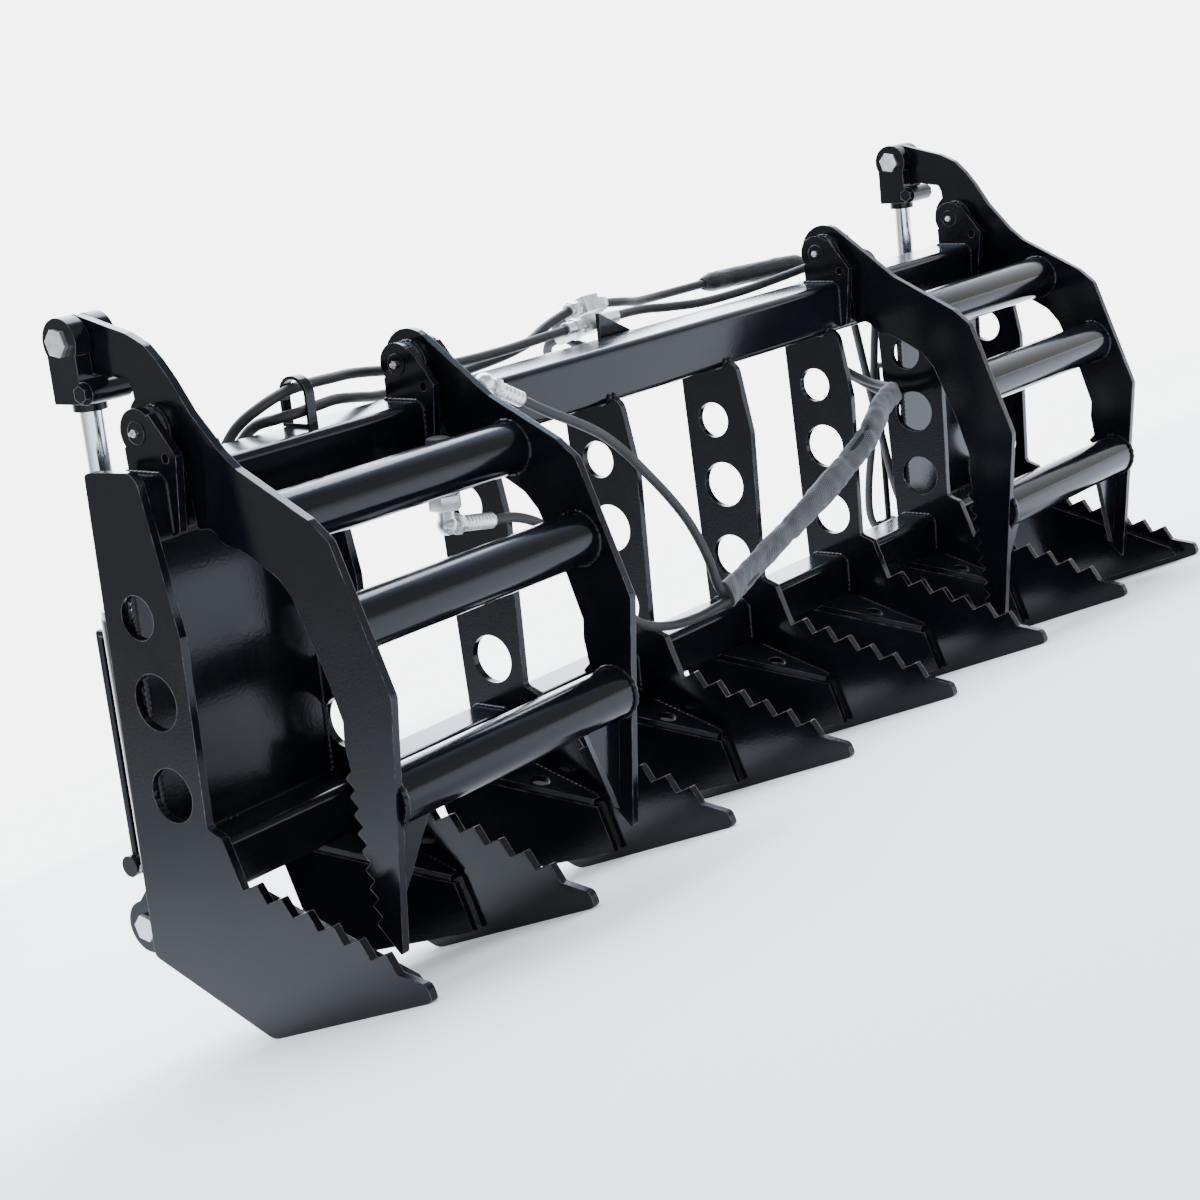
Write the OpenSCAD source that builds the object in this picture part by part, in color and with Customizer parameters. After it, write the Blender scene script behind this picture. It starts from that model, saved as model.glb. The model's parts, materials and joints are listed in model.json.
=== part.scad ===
// Root grapple: eight toothed tines under two hydraulic clamps.
// x runs along the width, y from the toes in front (-) to the carrier behind (+), z up from the floor.
// The side profile is laid out from the point where the tines' flat bottom edge meets the heel.

/* [Frame] */
// Spacing of the tines
tine_pitch = 260; // [250:1:290]
// Thickness of every flame-cut plate
plate_t = 10; // [8:0.5:12]
// Height of the end tines above the floor
frame_h = 614; // [590:1:650]
// Reach of the toes in front of the heel
toe_reach = 250; // [240:1:265]
// Lean of both cross tubes and the side sheets, towards the carrier at the bottom
frame_tilt = 21; // [18:0.5:23]
// Side of the square bottom tube
bottom_tube_w = 60; // [50:1:64]
// Side of the square top tube
top_tube_w = 70; // [60:1:72]
// Wall of the square tubes
tube_wall = 6; // [4:0.5:8]
// Thickness of the side sheets
sheet_t = 6; // [4:0.5:10]

/* [Tines] */
// Diameter of the top hole of a tine
hole_top_d = 48; // [30:1:52]
// Diameter of the middle hole of a tine
hole_mid_d = 62; // [40:1:66]
// Diameter of the bottom hole of a tine
hole_low_d = 60; // [40:1:64]
// Radius of the small plate corners
corner_r = 10; // [4:1:12]
// Radius of the heel corner
heel_r = 25; // [10:1:40]
// Thickness of the brace plates beside the tines
brace_t = 8; // [5:0.5:10]
// Width of a brace where it meets the bottom tube
brace_w = 78; // [60:1:90]
// Width of a brace at its blunt tip
brace_tip_w = 12; // [11:1:18]
// Diameter of the drain hole in a brace
brace_hole_d = 24; // [10:1:28]
// Thickness of the doublers inside the end tines
doubler_t = 17; // [8:1:20]

/* [Clamps] */
// Outer diameter of the clamp cross tubes
cross_tube_d = 60; // [50:1:64]
// Wall of the clamp cross tubes
cross_tube_wall = 5; // [3:0.5:8]
// Depth of the clamp teeth
clamp_tooth_depth = 10; // [6:0.5:12]
// Radius of the clamp plates round the pivot
boss_r = 38; // [34:0.5:39]
// Radius of the hook end round the clevis pin
hook_r = 26; // [22:0.5:28]
// Width of a tip web at the lower cross tube
web_w = 75; // [40:1:90]
// Distance of the tip web behind the front edge
web_set_back = 22; // [16:1:28]

/* [Pivots] */
// Diameter of the pivot pins
pin_d = 25; // [20:0.5:28]
// Space between a pair of pivot ears
ear_gap = 37; // [30:1:44]
// Radius of the ears round the pivot
ear_r = 25; // [22:0.5:28]
// Outer diameter of the welded bushes
bush_d = 46; // [38:1:52]
// Radial running clearance of every pin and rod
run_gap = 0.05; // [0.02:0.01:0.1]
// Gap between faces that slide past each other
side_gap = 0.3; // [0.2:0.05:0.5]
// Diameter of the keeper bolts
bolt_d = 10; // [8:1:12]

/* [Cylinders] */
// Outer diameter of the barrel
barrel_d = 50; // [46:1:56]
// Bore of the barrel
barrel_bore = 40; // [36:1:42]
// Diameter of the piston rod
rod_d = 25; // [20:1:28]
// Length of the barrel tube
barrel_len = 285; // [270:1:295]
// Height of the base cap above its pin
base_cap_h = 60; // [50:1:70]
// Length of the gland that shows above the barrel
gland_top_h = 10; // [6:1:16]
// Length of the gland inside the barrel
gland_in_h = 26; // [20:1:28]
// Length of the piston
piston_h = 30; // [24:1:32]
// Width of one clevis ear
clevis_ear_t = 20; // [16:1:22]
// Slot of the clevis round the hook plate
clevis_slot = 15; // [14.5:0.5:18]
// Depth of the clevis body from front to back
clevis_d = 44; // [38:1:50]
// Distance from the clevis pin to the bottom of the clevis
clevis_drop = 75; // [66:1:80]
// Space between a pair of cylinder lugs
lug_gap = 52; // [51:1:60]
// Radius of the lugs round the base pin
lug_r = 30; // [26:1:34]
// Outer diameter of the hard line
hard_line_d = 10; // [8:1:12]
// Distance of the hard line behind the cylinder axis
hard_line_off = 62; // [52:1:66]
// Width of the large nuts across the flats
nut_w = 27; // [26:1:34]

/* [Hoses] */
// Outer diameter of every hose
hose_d = 12.5; // [10:0.5:13]
// Width of the woven sleeve round both supply hoses
sleeve_w = 36; // [30:1:40]
// Thickness of the woven sleeve
sleeve_t = 22; // [18:1:24]
// Diameter of the shrink sleeve on one clamp hose
shrink_d = 30; // [20:1:32]
// Diameter of the crimped hose ends
crimp_d = 19; // [15:0.5:21]
// Diameter of the couplers on the supply hoses
coupler_d = 28; // [24:1:30]
// Width of the flat bar of the hose guide
guide_bar_w = 13; // [12:1:30]
// Thickness of the flat bar of the hose guide
guide_bar_t = 4; // [3:0.5:6]

/* [Hidden] */
$fn = 64;
// Overrun of every cut
over = 1;
tine_count = 8;
total_w = (tine_count - 1) * tine_pitch + plate_t;
paint = "#16181b";
zinc = "#c9ccd0";
rubber = "#17181a";

// A place in the side profile, from shares of the toe reach and the frame height
function place(share) = [share[0] * toe_reach, share[1] * frame_h];
function places(shares) = [for (s = shares) place(s)];
function unit(v) = v / norm(v);
function lean(v, angle) = [
    v[0] * cos(angle) - v[1] * sin(angle), v[0] * sin(angle) + v[1] * cos(angle)
];
// A line of points that turns from one side of a corner to the other
arc_steps = 4;
function bend(a, p, b, r) =
    let (u = unit(a - p), v = unit(b - p), half = acos(max(-1, min(1, u * v))) / 2)
    let (reach = min(r / tan(half), norm(a - p) / 2, norm(b - p) / 2))
    [for (i = [0 : arc_steps])
        let (t = i / arc_steps)
        (1 - t) * (1 - t) * (p + u * reach) + 2 * t * (1 - t) * p + t * t * (p + v * reach)];
// Corners of an outline: places whose third value is a rounding in corner radii
function corners(shares) = [for (s = shares) [place(s)[0], place(s)[1], s[2]]];
function flat(p) = [p[0], p[1]];
function rounded(spots) =
    let (n = len(spots))
    [for (i = [0 : n - 1])
        each (spots[i][2] > 0
            ? bend(flat(spots[(i + n - 1) % n]), flat(spots[i]), flat(spots[(i + 1) % n]),
                spots[i][2] * corner_r)
            : [flat(spots[i])])];

// Main places of the side profile, as shares of toe reach and frame height
bottom_tube_share = [0.192, 0.3135];
top_tube_share = [-0.316, 0.915];
pivot_share = [-0.428, 1.031];
hook_share = [-0.176, 1.228];
base_pin_share = [0.7, 0.2394];
bottom_tube_at = place(bottom_tube_share);
top_tube_at = place(top_tube_share);
pivot_at = place(pivot_share);
hook_at = place(hook_share);
base_pin_at = place(base_pin_share);
stroke_line = hook_at - base_pin_at;
cylinder_len = norm(stroke_line);
cylinder_lean = atan2(-stroke_line[0], stroke_line[1]);

// Places across the width, as shares of the tine pitch
outer_plate_share = 0.2654;
inner_plate_share = 1.781;
outer_x = outer_plate_share * tine_pitch;
inner_x = inner_plate_share * tine_pitch;

// Back of the whole part, behind the hard lines, and front of the clamps
port_d = 2 * hose_d;
line_low = 48;
rear_y = base_pin_at[0] - line_low * sin(cylinder_lean) + hard_line_off * cos(cylinder_lean)
    + port_d / 2;
clamp_front_share = -1.14;
front_y = clamp_front_share * toe_reach;
mid_y = (rear_y + front_y) / 2;

module framed() {
    translate([-total_w / 2, -mid_y, 0]) children();
}

// Flat shape of the side profile as a plate that starts at x
module plate(x, t) {
    translate([x, 0, 0]) rotate([90, 0, 90]) linear_extrude(t) children();
}

// Round bar across the width, from x0 to x1
module cross_bar(x0, x1, at, d) {
    translate([x0, at[0], at[1]]) rotate([0, 90, 0]) cylinder(d = d, h = x1 - x0);
}

// Local z runs from one point towards another
module aimed(a, b) {
    d = b - a;
    translate(a) rotate([0, acos(d[2] / norm(d)), atan2(d[1], d[0])]) children();
}

// Copy on the other half of the frame
module on_side(right) {
    if (right) translate([total_w, 0, 0]) mirror([1, 0, 0]) children();
    else children();
}

module both_sides() {
    on_side(false) children();
    on_side(true) children();
}

module round_square(w, r) {
    square([w, w - 2 * r], center = true);
    square([w - 2 * r, w], center = true);
    for (u = [-1, 1], v = [-1, 1]) translate([u * (w / 2 - r), v * (w / 2 - r)]) circle(r);
}

module tube_shape(at, w) {
    translate(at) rotate(frame_tilt) round_square(w, 1.5 * tube_wall);
}

module tube_core(at, w) {
    translate(at) rotate(frame_tilt) square(w - 2 * tube_wall, center = true);
}

/* Tines */
tooth_first_share = [-0.17, 0.258];
tooth_last_share = [-0.865, 0.057];
tooth_rise_share = [0.022, 0.037];
tooth_count = 7;
function notch_share(i) =
    tooth_first_share + (tooth_last_share - tooth_first_share) * i / (tooth_count - 1);
toe_teeth_shares = [for (i = [0 : tooth_count - 1])
    each (i == 0
        ? [[notch_share(i)[0], notch_share(i)[1], 0]]
        : [[notch_share(i)[0] + tooth_rise_share[0], notch_share(i)[1] + tooth_rise_share[1], 0.2],
            [notch_share(i)[0], notch_share(i)[1], 0]])];
knee_shares = [[-0.396, 0.687, 1], [-0.102, 0.376, 0.6], [-0.168, 0.352, 0.4]];
toe_tip_shares = [[-0.996, 0.029, 0.8], [-1, 0, 0.8]];
end_tine_shares = concat(
    [[0, 0, heel_r / corner_r], [0.55, 0.194, 1], [-0.216, 1, 1], [-0.256, 0.998, 1],
        [-0.48, 0.967, 1], [-0.504, 0.946, 1]],
    knee_shares, toe_teeth_shares, toe_tip_shares);
inner_tine_shares = concat(
    [[0, 0, heel_r / corner_r], [0.464, 0.153, 1], [-0.13, 0.9, 0], [-0.4, 0.858, 0],
        [-0.462, 0.836, 2]],
    knee_shares, toe_teeth_shares, toe_tip_shares);
hole_shares = [[-0.192, 0.746], [-0.1, 0.604], [0.028, 0.448]];
hole_ds = [hole_top_d, hole_mid_d, hole_low_d];

module tine_holes() {
    for (i = [0 : len(hole_shares) - 1]) translate(place(hole_shares[i])) circle(d = hole_ds[i]);
}

module end_tine(i) {
    color(paint) plate(i * tine_pitch, plate_t) difference() {
        polygon(rounded(corners(end_tine_shares)));
        tine_holes();
    }
}

module inner_tine(i) {
    color(paint) plate(i * tine_pitch, plate_t) difference() {
        polygon(rounded(corners(inner_tine_shares)));
        tine_holes();
        tube_shape(bottom_tube_at, bottom_tube_w);
        tube_shape(top_tube_at, top_tube_w);
    }
}

module tine(i) {
    if (i == 0 || i == tine_count - 1) end_tine(i);
    else inner_tine(i);
}

/* Frame */
module frame_tube(at, w) {
    color(paint) plate(plate_t, total_w - 2 * plate_t) difference() {
        tube_shape(at, w);
        tube_core(at, w);
    }
}

sheet_foot_share = [0.22, 0.373];
module side_sheet() {
    foot = lean(place(sheet_foot_share), -frame_tilt);
    low = lean(bottom_tube_at, -frame_tilt)[1] + bottom_tube_w / 2;
    high = lean(top_tube_at, -frame_tilt)[1] - top_tube_w / 2;
    color(paint) plate(plate_t, tine_pitch - plate_t)
        rotate(frame_tilt) translate([foot[0], low]) square([sheet_t, high - low]);
}

// Braces: sloping triangles on both faces of each inner tine, with a skirt under the long edge
brace_back_share = [0.152, 0.264];
brace_tip_share = [-0.3, 0.126];
skirt_foot_share = [0.3, 0.062];
skirt_toe_share = [-0.3, 0.016];
brace_line = place(brace_back_share) - place(brace_tip_share);
brace_slope = atan2(brace_line[1], brace_line[0]);
brace_len = norm(brace_line);
brace_drop = brace_t / cos(brace_slope);
brace_hole_share = [0.33, 0.5];
module brace_plate() {
    back = place(brace_back_share);
    difference() {
        translate([0, back[0], back[1]]) rotate([brace_slope, 0, 0]) translate([0, -brace_len, -brace_t])
            linear_extrude(brace_t) difference() {
                polygon([[0, 0], [brace_tip_w, 0], [brace_w, brace_len], [0, brace_len]]);
                translate([brace_w * brace_hole_share[0], brace_len * brace_hole_share[1]])
                    circle(d = brace_hole_d);
            }
        plate(-over, brace_w + 2 * over) tube_shape(bottom_tube_at, bottom_tube_w);
    }
}
module brace_skirt() {
    back = place(brace_back_share);
    tip = place(brace_tip_share);
    foot = place(skirt_foot_share);
    toe = place(skirt_toe_share);
    side_run = brace_w - brace_tip_w;
    past = (foot[0] - back[0]) / brace_line[0];
    intersection() {
        plate(0, 2 * brace_w) difference() {
            polygon([toe, [tip[0], tip[1] - brace_drop], [foot[0], back[1] - brace_drop
                + (foot[0] - back[0]) * tan(brace_slope)], foot]);
            tube_shape(bottom_tube_at, bottom_tube_w);
        }
        translate([0, 0, -over]) linear_extrude(back[1] + foot[0]) polygon([
            [brace_tip_w - brace_t, tip[0]], [brace_tip_w, tip[0]],
            [brace_w + side_run * past, foot[0]], [brace_w + side_run * past - brace_t, foot[0]]
        ]);
    }
}

module at_inner_tines() {
    for (i = [1 : tine_count - 2]) {
        translate([i * tine_pitch + plate_t, 0, 0]) children();
        translate([i * tine_pitch, 0, 0]) mirror([1, 0, 0]) children();
    }
}

doubler_shares = [[-0.15, 0.252, 0], [-0.865, 0.042, 0], [-0.9, 0.016, 0.3], [0, 0.016, 1],
    [0.36, 0.14, 0.5], [0.2, 0.26, 0]];
module end_tine_doubler() {
    color(paint) plate(plate_t, doubler_t) difference() {
        polygon(rounded(corners(doubler_shares)));
        tube_shape(bottom_tube_at, bottom_tube_w);
    }
}

// Pivot ears: pairs astride each clamp plate, saddled on the top tube
ear_shares = [pivot_share, [-0.322, 1.018], [-0.25, 0.93], [-0.38, 0.85],
    [-0.448, 0.85], [-0.596, 0.966], [-0.572, 1.0], [-0.532, 1.05]];
module ear_shape() {
    difference() {
        union() {
            translate(pivot_at) circle(ear_r);
            polygon(places(ear_shares));
        }
        translate(pivot_at) circle(d = pin_d + 2 * run_gap);
        translate(keeper_at) circle(d = bolt_d + 2 * run_gap);
        tube_shape(top_tube_at, top_tube_w);
    }
}

// The two sides of each pair of ears about a plate in the middle
module ear_pairs() {
    for (x = [outer_x, inner_x]) {
        plate(x - ear_gap / 2 - plate_t, plate_t) children();
        plate(x + ear_gap / 2, plate_t) children();
    }
}

// Lugs: pairs behind the bottom tube that carry the cylinders' base pins
lug_shares = [[0.58, 0.222], [0.3, 0.27], [0.16, 0.3], [0.26, 0.368], [0.36, 0.362], [0.79, 0.265]];
module lug_shape() {
    difference() {
        union() {
            translate(base_pin_at) circle(lug_r);
            polygon(places(lug_shares));
        }
        translate(base_pin_at) circle(d = pin_d + 2 * run_gap);
        tube_shape(bottom_tube_at, bottom_tube_w);
    }
}

module cylinder_lug_pair() {
    plate(outer_x - lug_gap / 2 - plate_t, plate_t) lug_shape();
    plate(outer_x + lug_gap / 2, plate_t) lug_shape();
}

/* Pins and bolts */
pin_head_t = 6;
pin_head_d = 1.4 * pin_d;
flag_w = 2 * bolt_d;
bolt_head_w = 1.7 * bolt_d;
bolt_head_h = 0.7 * bolt_d;
keeper_share = [-0.532, 0.971];
keeper_at = place(keeper_share);

// Pivot pin: one end just stands out of its ear, the other has a flag plate with a keeper bolt
pin_out = 1.5;
module pivot_pin() {
    half = ear_gap / 2 + plate_t;
    flag = norm(keeper_at - pivot_at);
    flag_lean = atan2(keeper_at[1] - pivot_at[1], keeper_at[0] - pivot_at[0]);
    cross_bar(-half - pin_out, half + pin_head_t, pivot_at, pin_d);
    plate(half, pin_head_t) difference() {
        union() {
            translate(pivot_at) circle(d = pin_head_d);
            translate(pivot_at) rotate(flag_lean) translate([0, -flag_w / 2]) square([flag, flag_w]);
            translate(keeper_at) circle(d = flag_w);
        }
        translate(keeper_at) circle(d = bolt_d + 2 * run_gap);
    }
}

module hex_head(x, at, w, t) {
    translate([x, at[0], at[1]]) rotate([0, 90, 0]) cylinder(d = w / cos(30), h = t, $fn = 6);
}

// Keeper bolt: through the flag and the ear behind it
module keeper_bolt() {
    face = ear_gap / 2;
    cross_bar(face, face + plate_t + pin_head_t, keeper_at, bolt_d);
    hex_head(face + plate_t + pin_head_t, keeper_at, bolt_head_w, bolt_head_h);
}

nipple_d = 8;
module grease_nipple() {
    face = -ear_gap / 2 - plate_t - pin_out;
    hex_head(face - nipple_d / 2, pivot_at, nipple_d, nipple_d / 2);
    cross_bar(face - nipple_d, face - nipple_d / 2, pivot_at, nipple_d / 2);
}

// Places of the four pivots across the width, with every pin the same way round
module at_pivots() {
    for (x = [outer_x, inner_x, total_w - inner_x, total_w - outer_x]) translate([x, 0, 0]) children();
}

module base_pin() {
    half = lug_gap / 2 + plate_t;
    cross_bar(outer_x - half, outer_x + half, base_pin_at, pin_d);
    hex_head(outer_x - half - pin_head_t, base_pin_at, nut_w, pin_head_t);
    hex_head(outer_x + half, base_pin_at, nut_w, pin_head_t);
}

/* Clamps */
arm_shares = [[-0.508, 0.968, 0], [-0.512, 0.942, 0], [-0.448, 0.845, 0.5], [-0.512, 0.84, 0.5],
    [-0.536, 0.831, 0.5], [-0.564, 0.806, 0.5], [-0.644, 0.785, 0.8], [-0.724, 0.751, 1.5],
    [-0.788, 0.72, 1.5], [-0.824, 0.681, 2], [-0.84, 0.547, 2], [-0.832, 0.461, 1],
    [-0.792, 0.428, 0.8]];
front_shares = [[-0.644, 0.062, 0.3], [clamp_front_share, 0.469, 1.5],
    [clamp_front_share, 0.738, 1.5], [-1.076, 0.783, 1], [-0.794, 0.909, 1]];
hook_front_shares = [[-0.74, 0.948, 1.5], [-0.664, 1.026, 1.5], [-0.628, 1.088, 2],
    [-0.596, 1.127, 2], [-0.556, 1.161, 2], [-0.476, 1.194, 2], [-0.38, 1.221, 1]];
hook_back_shares = [[-0.22, 1.156, 1], [-0.28, 1.148, 1], [-0.348, 1.132, 1],
    [-0.388, 1.124, 0.5], [-0.392, 1.107, 0.5]];
// Teeth of a clamp run down the rear edge from the end of the arm to the tip
clamp_teeth_count = 9;
tooth_peak_share = 0.4;
tooth_round = 0.2;
teeth_top_share = [-0.768, 0.381];
teeth_end_share = [-0.6, 0.105];
function clamp_tooth(i) =
    let (top = place(teeth_top_share), end = place(teeth_end_share))
    let (step = (end - top) / clamp_teeth_count, out = unit([-step[1], step[0]]))
    let (foot = top + step * i)
    let (peak = foot + step * tooth_peak_share + out * clamp_tooth_depth)
    [[foot[0], foot[1], 0], [peak[0], peak[1], tooth_round]];
clamp_teeth = [for (i = [0 : clamp_teeth_count - 1]) each clamp_tooth(i)];

// Round ends as lines of points, each from one angle back to another
end_steps = 20;
hook_arc = [124, -50];
outer_boss_arc = [72, -112];
inner_boss_arc = [148, -112];
function round_end(at, r, arc) = [for (i = [0 : end_steps])
    let (a = arc[0] + (arc[1] - arc[0]) * i / end_steps)
    [at[0] + r * cos(a), at[1] + r * sin(a), 0]];

module clamp_outline(hooked) {
    hook = concat(corners(hook_front_shares), round_end(hook_at, hook_r, hook_arc),
        corners(hook_back_shares));
    boss = round_end(pivot_at, boss_r, hooked ? outer_boss_arc : inner_boss_arc);
    polygon(rounded(concat(
        corners(front_shares), hooked ? hook : [], boss, corners(arm_shares), clamp_teeth)));
}

module clamp_plate(x, hooked) {
    color(paint) plate(x - plate_t / 2, plate_t) difference() {
        clamp_outline(hooked);
        translate(pivot_at) circle(d = bush_d + 2 * run_gap);
        if (hooked) translate(hook_at) circle(d = pin_d + 2 * run_gap);
    }
}

cross_tube_shares = [[-0.8, 0.806], [-0.984, 0.603], [-0.846, 0.316]];
module clamp_cross_tubes() {
    color(paint) for (s = cross_tube_shares) difference() {
        cross_bar(outer_x + plate_t / 2, inner_x - plate_t / 2, place(s), cross_tube_d);
        cross_bar(outer_x, inner_x, place(s), cross_tube_d - 2 * cross_tube_wall);
    }
}

// Triangles inside the clamp plates, from the lower cross tube to the tip
module clamp_tip_web() {
    knee = place([front_shares[1][0], front_shares[1][1]]);
    tip = place([front_shares[0][0], front_shares[0][1]]);
    run = unit(tip - knee);
    inward = [-run[1], run[0]];
    low = place(cross_tube_shares[2]);
    start = knee + run * (run * (low - knee)) + inward * web_set_back;
    web_len = norm(tip - knee) - run * (low - knee) - web_set_back;
    spin = atan2(-run[0], -run[1]);
    difference() {
        translate([0, start[0], start[1]]) rotate([-spin + 90, 0, 0]) translate([0, 0, -brace_t / 2])
            linear_extrude(brace_t) polygon([[0, 0], [web_w, 0], [over, -web_len], [0, -web_len]]);
        cross_bar(-over, web_w + over, low, cross_tube_d);
    }
}

module clamp_tip_webs() {
    color(paint) {
        translate([outer_x + plate_t / 2, 0, 0]) clamp_tip_web();
        translate([inner_x - plate_t / 2, 0, 0]) mirror([1, 0, 0]) clamp_tip_web();
    }
}

module clamp_bushes() {
    half = ear_gap / 2 - side_gap;
    color(zinc) for (x = [outer_x, inner_x]) difference() {
        cross_bar(x - half, x + half, pivot_at, bush_d);
        cross_bar(x - half - over, x + half + over, pivot_at, pin_d + 2 * run_gap);
    }
}

/* Cylinders */
// Local z runs up the cylinder axis from the base pin
module on_axis() {
    translate([outer_x, base_pin_at[0], base_pin_at[1]]) rotate([cylinder_lean, 0, 0]) children();
}

module axis_cross(len_x, d, z) {
    translate([-len_x / 2, 0, z]) rotate([0, 90, 0]) cylinder(d = d, h = len_x);
}

barrel_top = base_cap_h + barrel_len;
piston_rest_gap = 25;
piston_z = barrel_top - gland_in_h - piston_h - piston_rest_gap;
rod_top = cylinder_len - clevis_drop;
port_wall = 2;
port_reach = 16;
port_stem = 12;
hard_line_x = 13.6;
line_drop = 28;
line_high = barrel_top - line_drop;
base_port_z = 80;

eye_drop = 2;
gland_step = 1;
module barrel() {
    eye_w = lug_gap - 2 * side_gap;
    color(paint) on_axis() difference() {
        union() {
            axis_cross(eye_w, 2 * (lug_r - eye_drop), 0);
            cylinder(d = barrel_d, h = barrel_top);
            translate([0, 0, base_port_z]) rotate([0, 90, 0])
                cylinder(d = port_d, h = barrel_d / 2 + port_reach);
        }
        axis_cross(eye_w + 2 * over, pin_d + 2 * run_gap, 0);
        translate([0, 0, base_cap_h]) cylinder(d = barrel_bore, h = barrel_len + over);
        translate([barrel_d / 2, 0, base_port_z]) rotate([0, 90, 0])
            cylinder(d = port_d - 2 * port_wall, h = port_reach + over);
    }
}

module gland() {
    color(zinc) on_axis() difference() {
        union() {
            translate([0, 0, barrel_top - gland_in_h])
                cylinder(d = barrel_bore - 2 * run_gap, h = gland_in_h);
            translate([0, 0, barrel_top]) cylinder(d = barrel_d - 2 * gland_step, h = gland_top_h);
        }
        translate([0, 0, barrel_top - gland_in_h - over])
            cylinder(d = rod_d + 2 * run_gap, h = gland_in_h + gland_top_h + 2 * over);
    }
}

// Steel line behind the barrel, with a boss on the barrel's top end and a hose port at its foot
module hard_line() {
    color(zinc) on_axis() {
        translate([hard_line_x, hard_line_off, line_low])
            cylinder(d = hard_line_d, h = line_high - line_low);
        translate([hard_line_x, hard_line_off, line_high]) sphere(d = hard_line_d);
        translate([hard_line_x, 0, line_high]) rotate([-90, 0, 0]) difference() {
            cylinder(d = hard_line_d, h = hard_line_off);
            translate([-hard_line_x, 0, 0]) rotate([-90, 0, 0]) translate([0, 0, -barrel_d])
                cylinder(d = barrel_d, h = 2 * barrel_d);
        }
        translate([hard_line_x - port_d / 2, hard_line_off, line_low]) rotate([0, 90, 0]) difference() {
            cylinder(d = port_d, h = port_d / 2 + port_reach + port_stem);
            translate([0, 0, port_d]) cylinder(d = port_d - 2 * port_wall, h = port_reach + port_d);
        }
    }
}

module rod() {
    foot = piston_z + piston_h;
    color("#e8eaec") on_axis() translate([0, 0, foot]) cylinder(d = rod_d, h = rod_top - foot);
}

module piston() {
    color(zinc) on_axis() translate([0, 0, piston_z]) cylinder(d = barrel_bore - 2 * run_gap, h = piston_h);
}

// Clevis: two ears round the hook plate over a body that takes the rod
clevis_slot_drop = 13;
clevis_neck_h = 10;
clevis_neck_wall = 6;
pinch_rise = 22;
pinch_out = 6;
module clevis() {
    wide = clevis_slot + 2 * clevis_ear_t;
    slot_depth = hook_r + clevis_slot_drop;
    color(paint) on_axis() difference() {
        union() {
            axis_cross(wide, 2 * hook_r, cylinder_len);
            translate([-wide / 2, -clevis_d / 2, rod_top + clevis_neck_h])
                cube([wide, clevis_d, clevis_drop - clevis_neck_h]);
            translate([0, 0, rod_top]) cylinder(d = rod_d + 2 * clevis_neck_wall, h = clevis_neck_h);
            translate([-wide / 2, -clevis_d / 2 - pinch_out, rod_top + pinch_rise]) rotate([0, 90, 0])
                cylinder(d = pin_d, h = wide);
        }
        translate([-clevis_slot / 2, -clevis_d, cylinder_len - slot_depth])
            cube([clevis_slot, 2 * clevis_d, 2 * slot_depth]);
        axis_cross(wide + 2 * over, pin_d + 2 * run_gap, cylinder_len);
        translate([-wide / 2 - over, -clevis_d / 2 - pinch_out, rod_top + pinch_rise])
            rotate([0, 90, 0]) cylinder(d = bolt_d + 2 * run_gap, h = wide + 2 * over);
    }
}

// The clevis pin is two halves that stop just short of the hook plate
module clevis_pins() {
    wide = clevis_slot + 2 * clevis_ear_t;
    reach = (wide - plate_t) / 2 - side_gap;
    color(zinc) {
        for (s = [-1, 1]) {
            at = s < 0 ? outer_x - wide / 2 : outer_x + plate_t / 2 + side_gap;
            cross_bar(at, at + reach, hook_at, pin_d);
        }
        hex_head(outer_x - wide / 2 - pin_head_t, hook_at, nut_w, pin_head_t);
        hex_head(outer_x + wide / 2, hook_at, nut_w, pin_head_t);
    }
}

module pinch_bolt() {
    wide = clevis_slot + 2 * clevis_ear_t;
    color(paint) on_axis() rotate([0, 90, 0])
        translate([-rod_top - pinch_rise, -clevis_d / 2 - pinch_out, -wide / 2 - bolt_head_h]) {
            cylinder(d = bolt_d, h = wide + 2 * bolt_head_h);
            cylinder(d = bolt_head_w / cos(30), h = bolt_head_h, $fn = 6);
            translate([0, 0, wide + bolt_head_h])
                cylinder(d = bolt_head_w / cos(30), h = bolt_head_h, $fn = 6);
        }
}

/* Hoses */
// Directions along a route; its ends may lead from one point and on to another
function tangents(p, from, to) = let (last = len(p) - 1) [for (i = [0 : last])
    i == 0 && from != undef ? unit(p[0] - from)
    : i == last && to != undef ? unit(to - p[last])
    : unit(p[min(i + 1, last)] - p[max(i - 1, 0)])];
function square_to(n, t) = unit(n - t * (n * t));
function normals(t) = [for (i = 0, n = square_to([0.1, 0.3, 1], t[0]);
    i < len(t);
    i = i + 1, n = i < len(t) ? square_to(n, t[i]) : n) n];

// Closed tube swept along a route, wide along its own normal and thick across it
module swept(route, wide, thick, sides, from, to) {
    t = tangents(route, from, to);
    n = normals(t);
    rings = len(route);
    spots = [for (i = [0 : rings - 1], k = [0 : sides - 1])
        let (a = 360 * k / sides, b = cross(t[i], n[i]))
        route[i] + n[i] * cos(a) * wide / 2 + b * sin(a) * thick / 2];
    walls = [for (i = [0 : rings - 2], k = [0 : sides - 1])
        let (m = (k + 1) % sides, lo = i * sides, hi = lo + sides)
        each [[lo + k, hi + k, lo + m], [lo + m, hi + k, hi + m]]];
    caps = [for (k = [1 : sides - 2])
        let (last = (rings - 1) * sides)
        each [[0, k, k + 1], [last, last + k + 1, last + k]]];
    polyhedron(points = spots, faces = concat(walls, caps));
}

module hose(route, from, to) {
    color(rubber) swept(route, hose_d, hose_d, 10, from, to);
}

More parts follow.
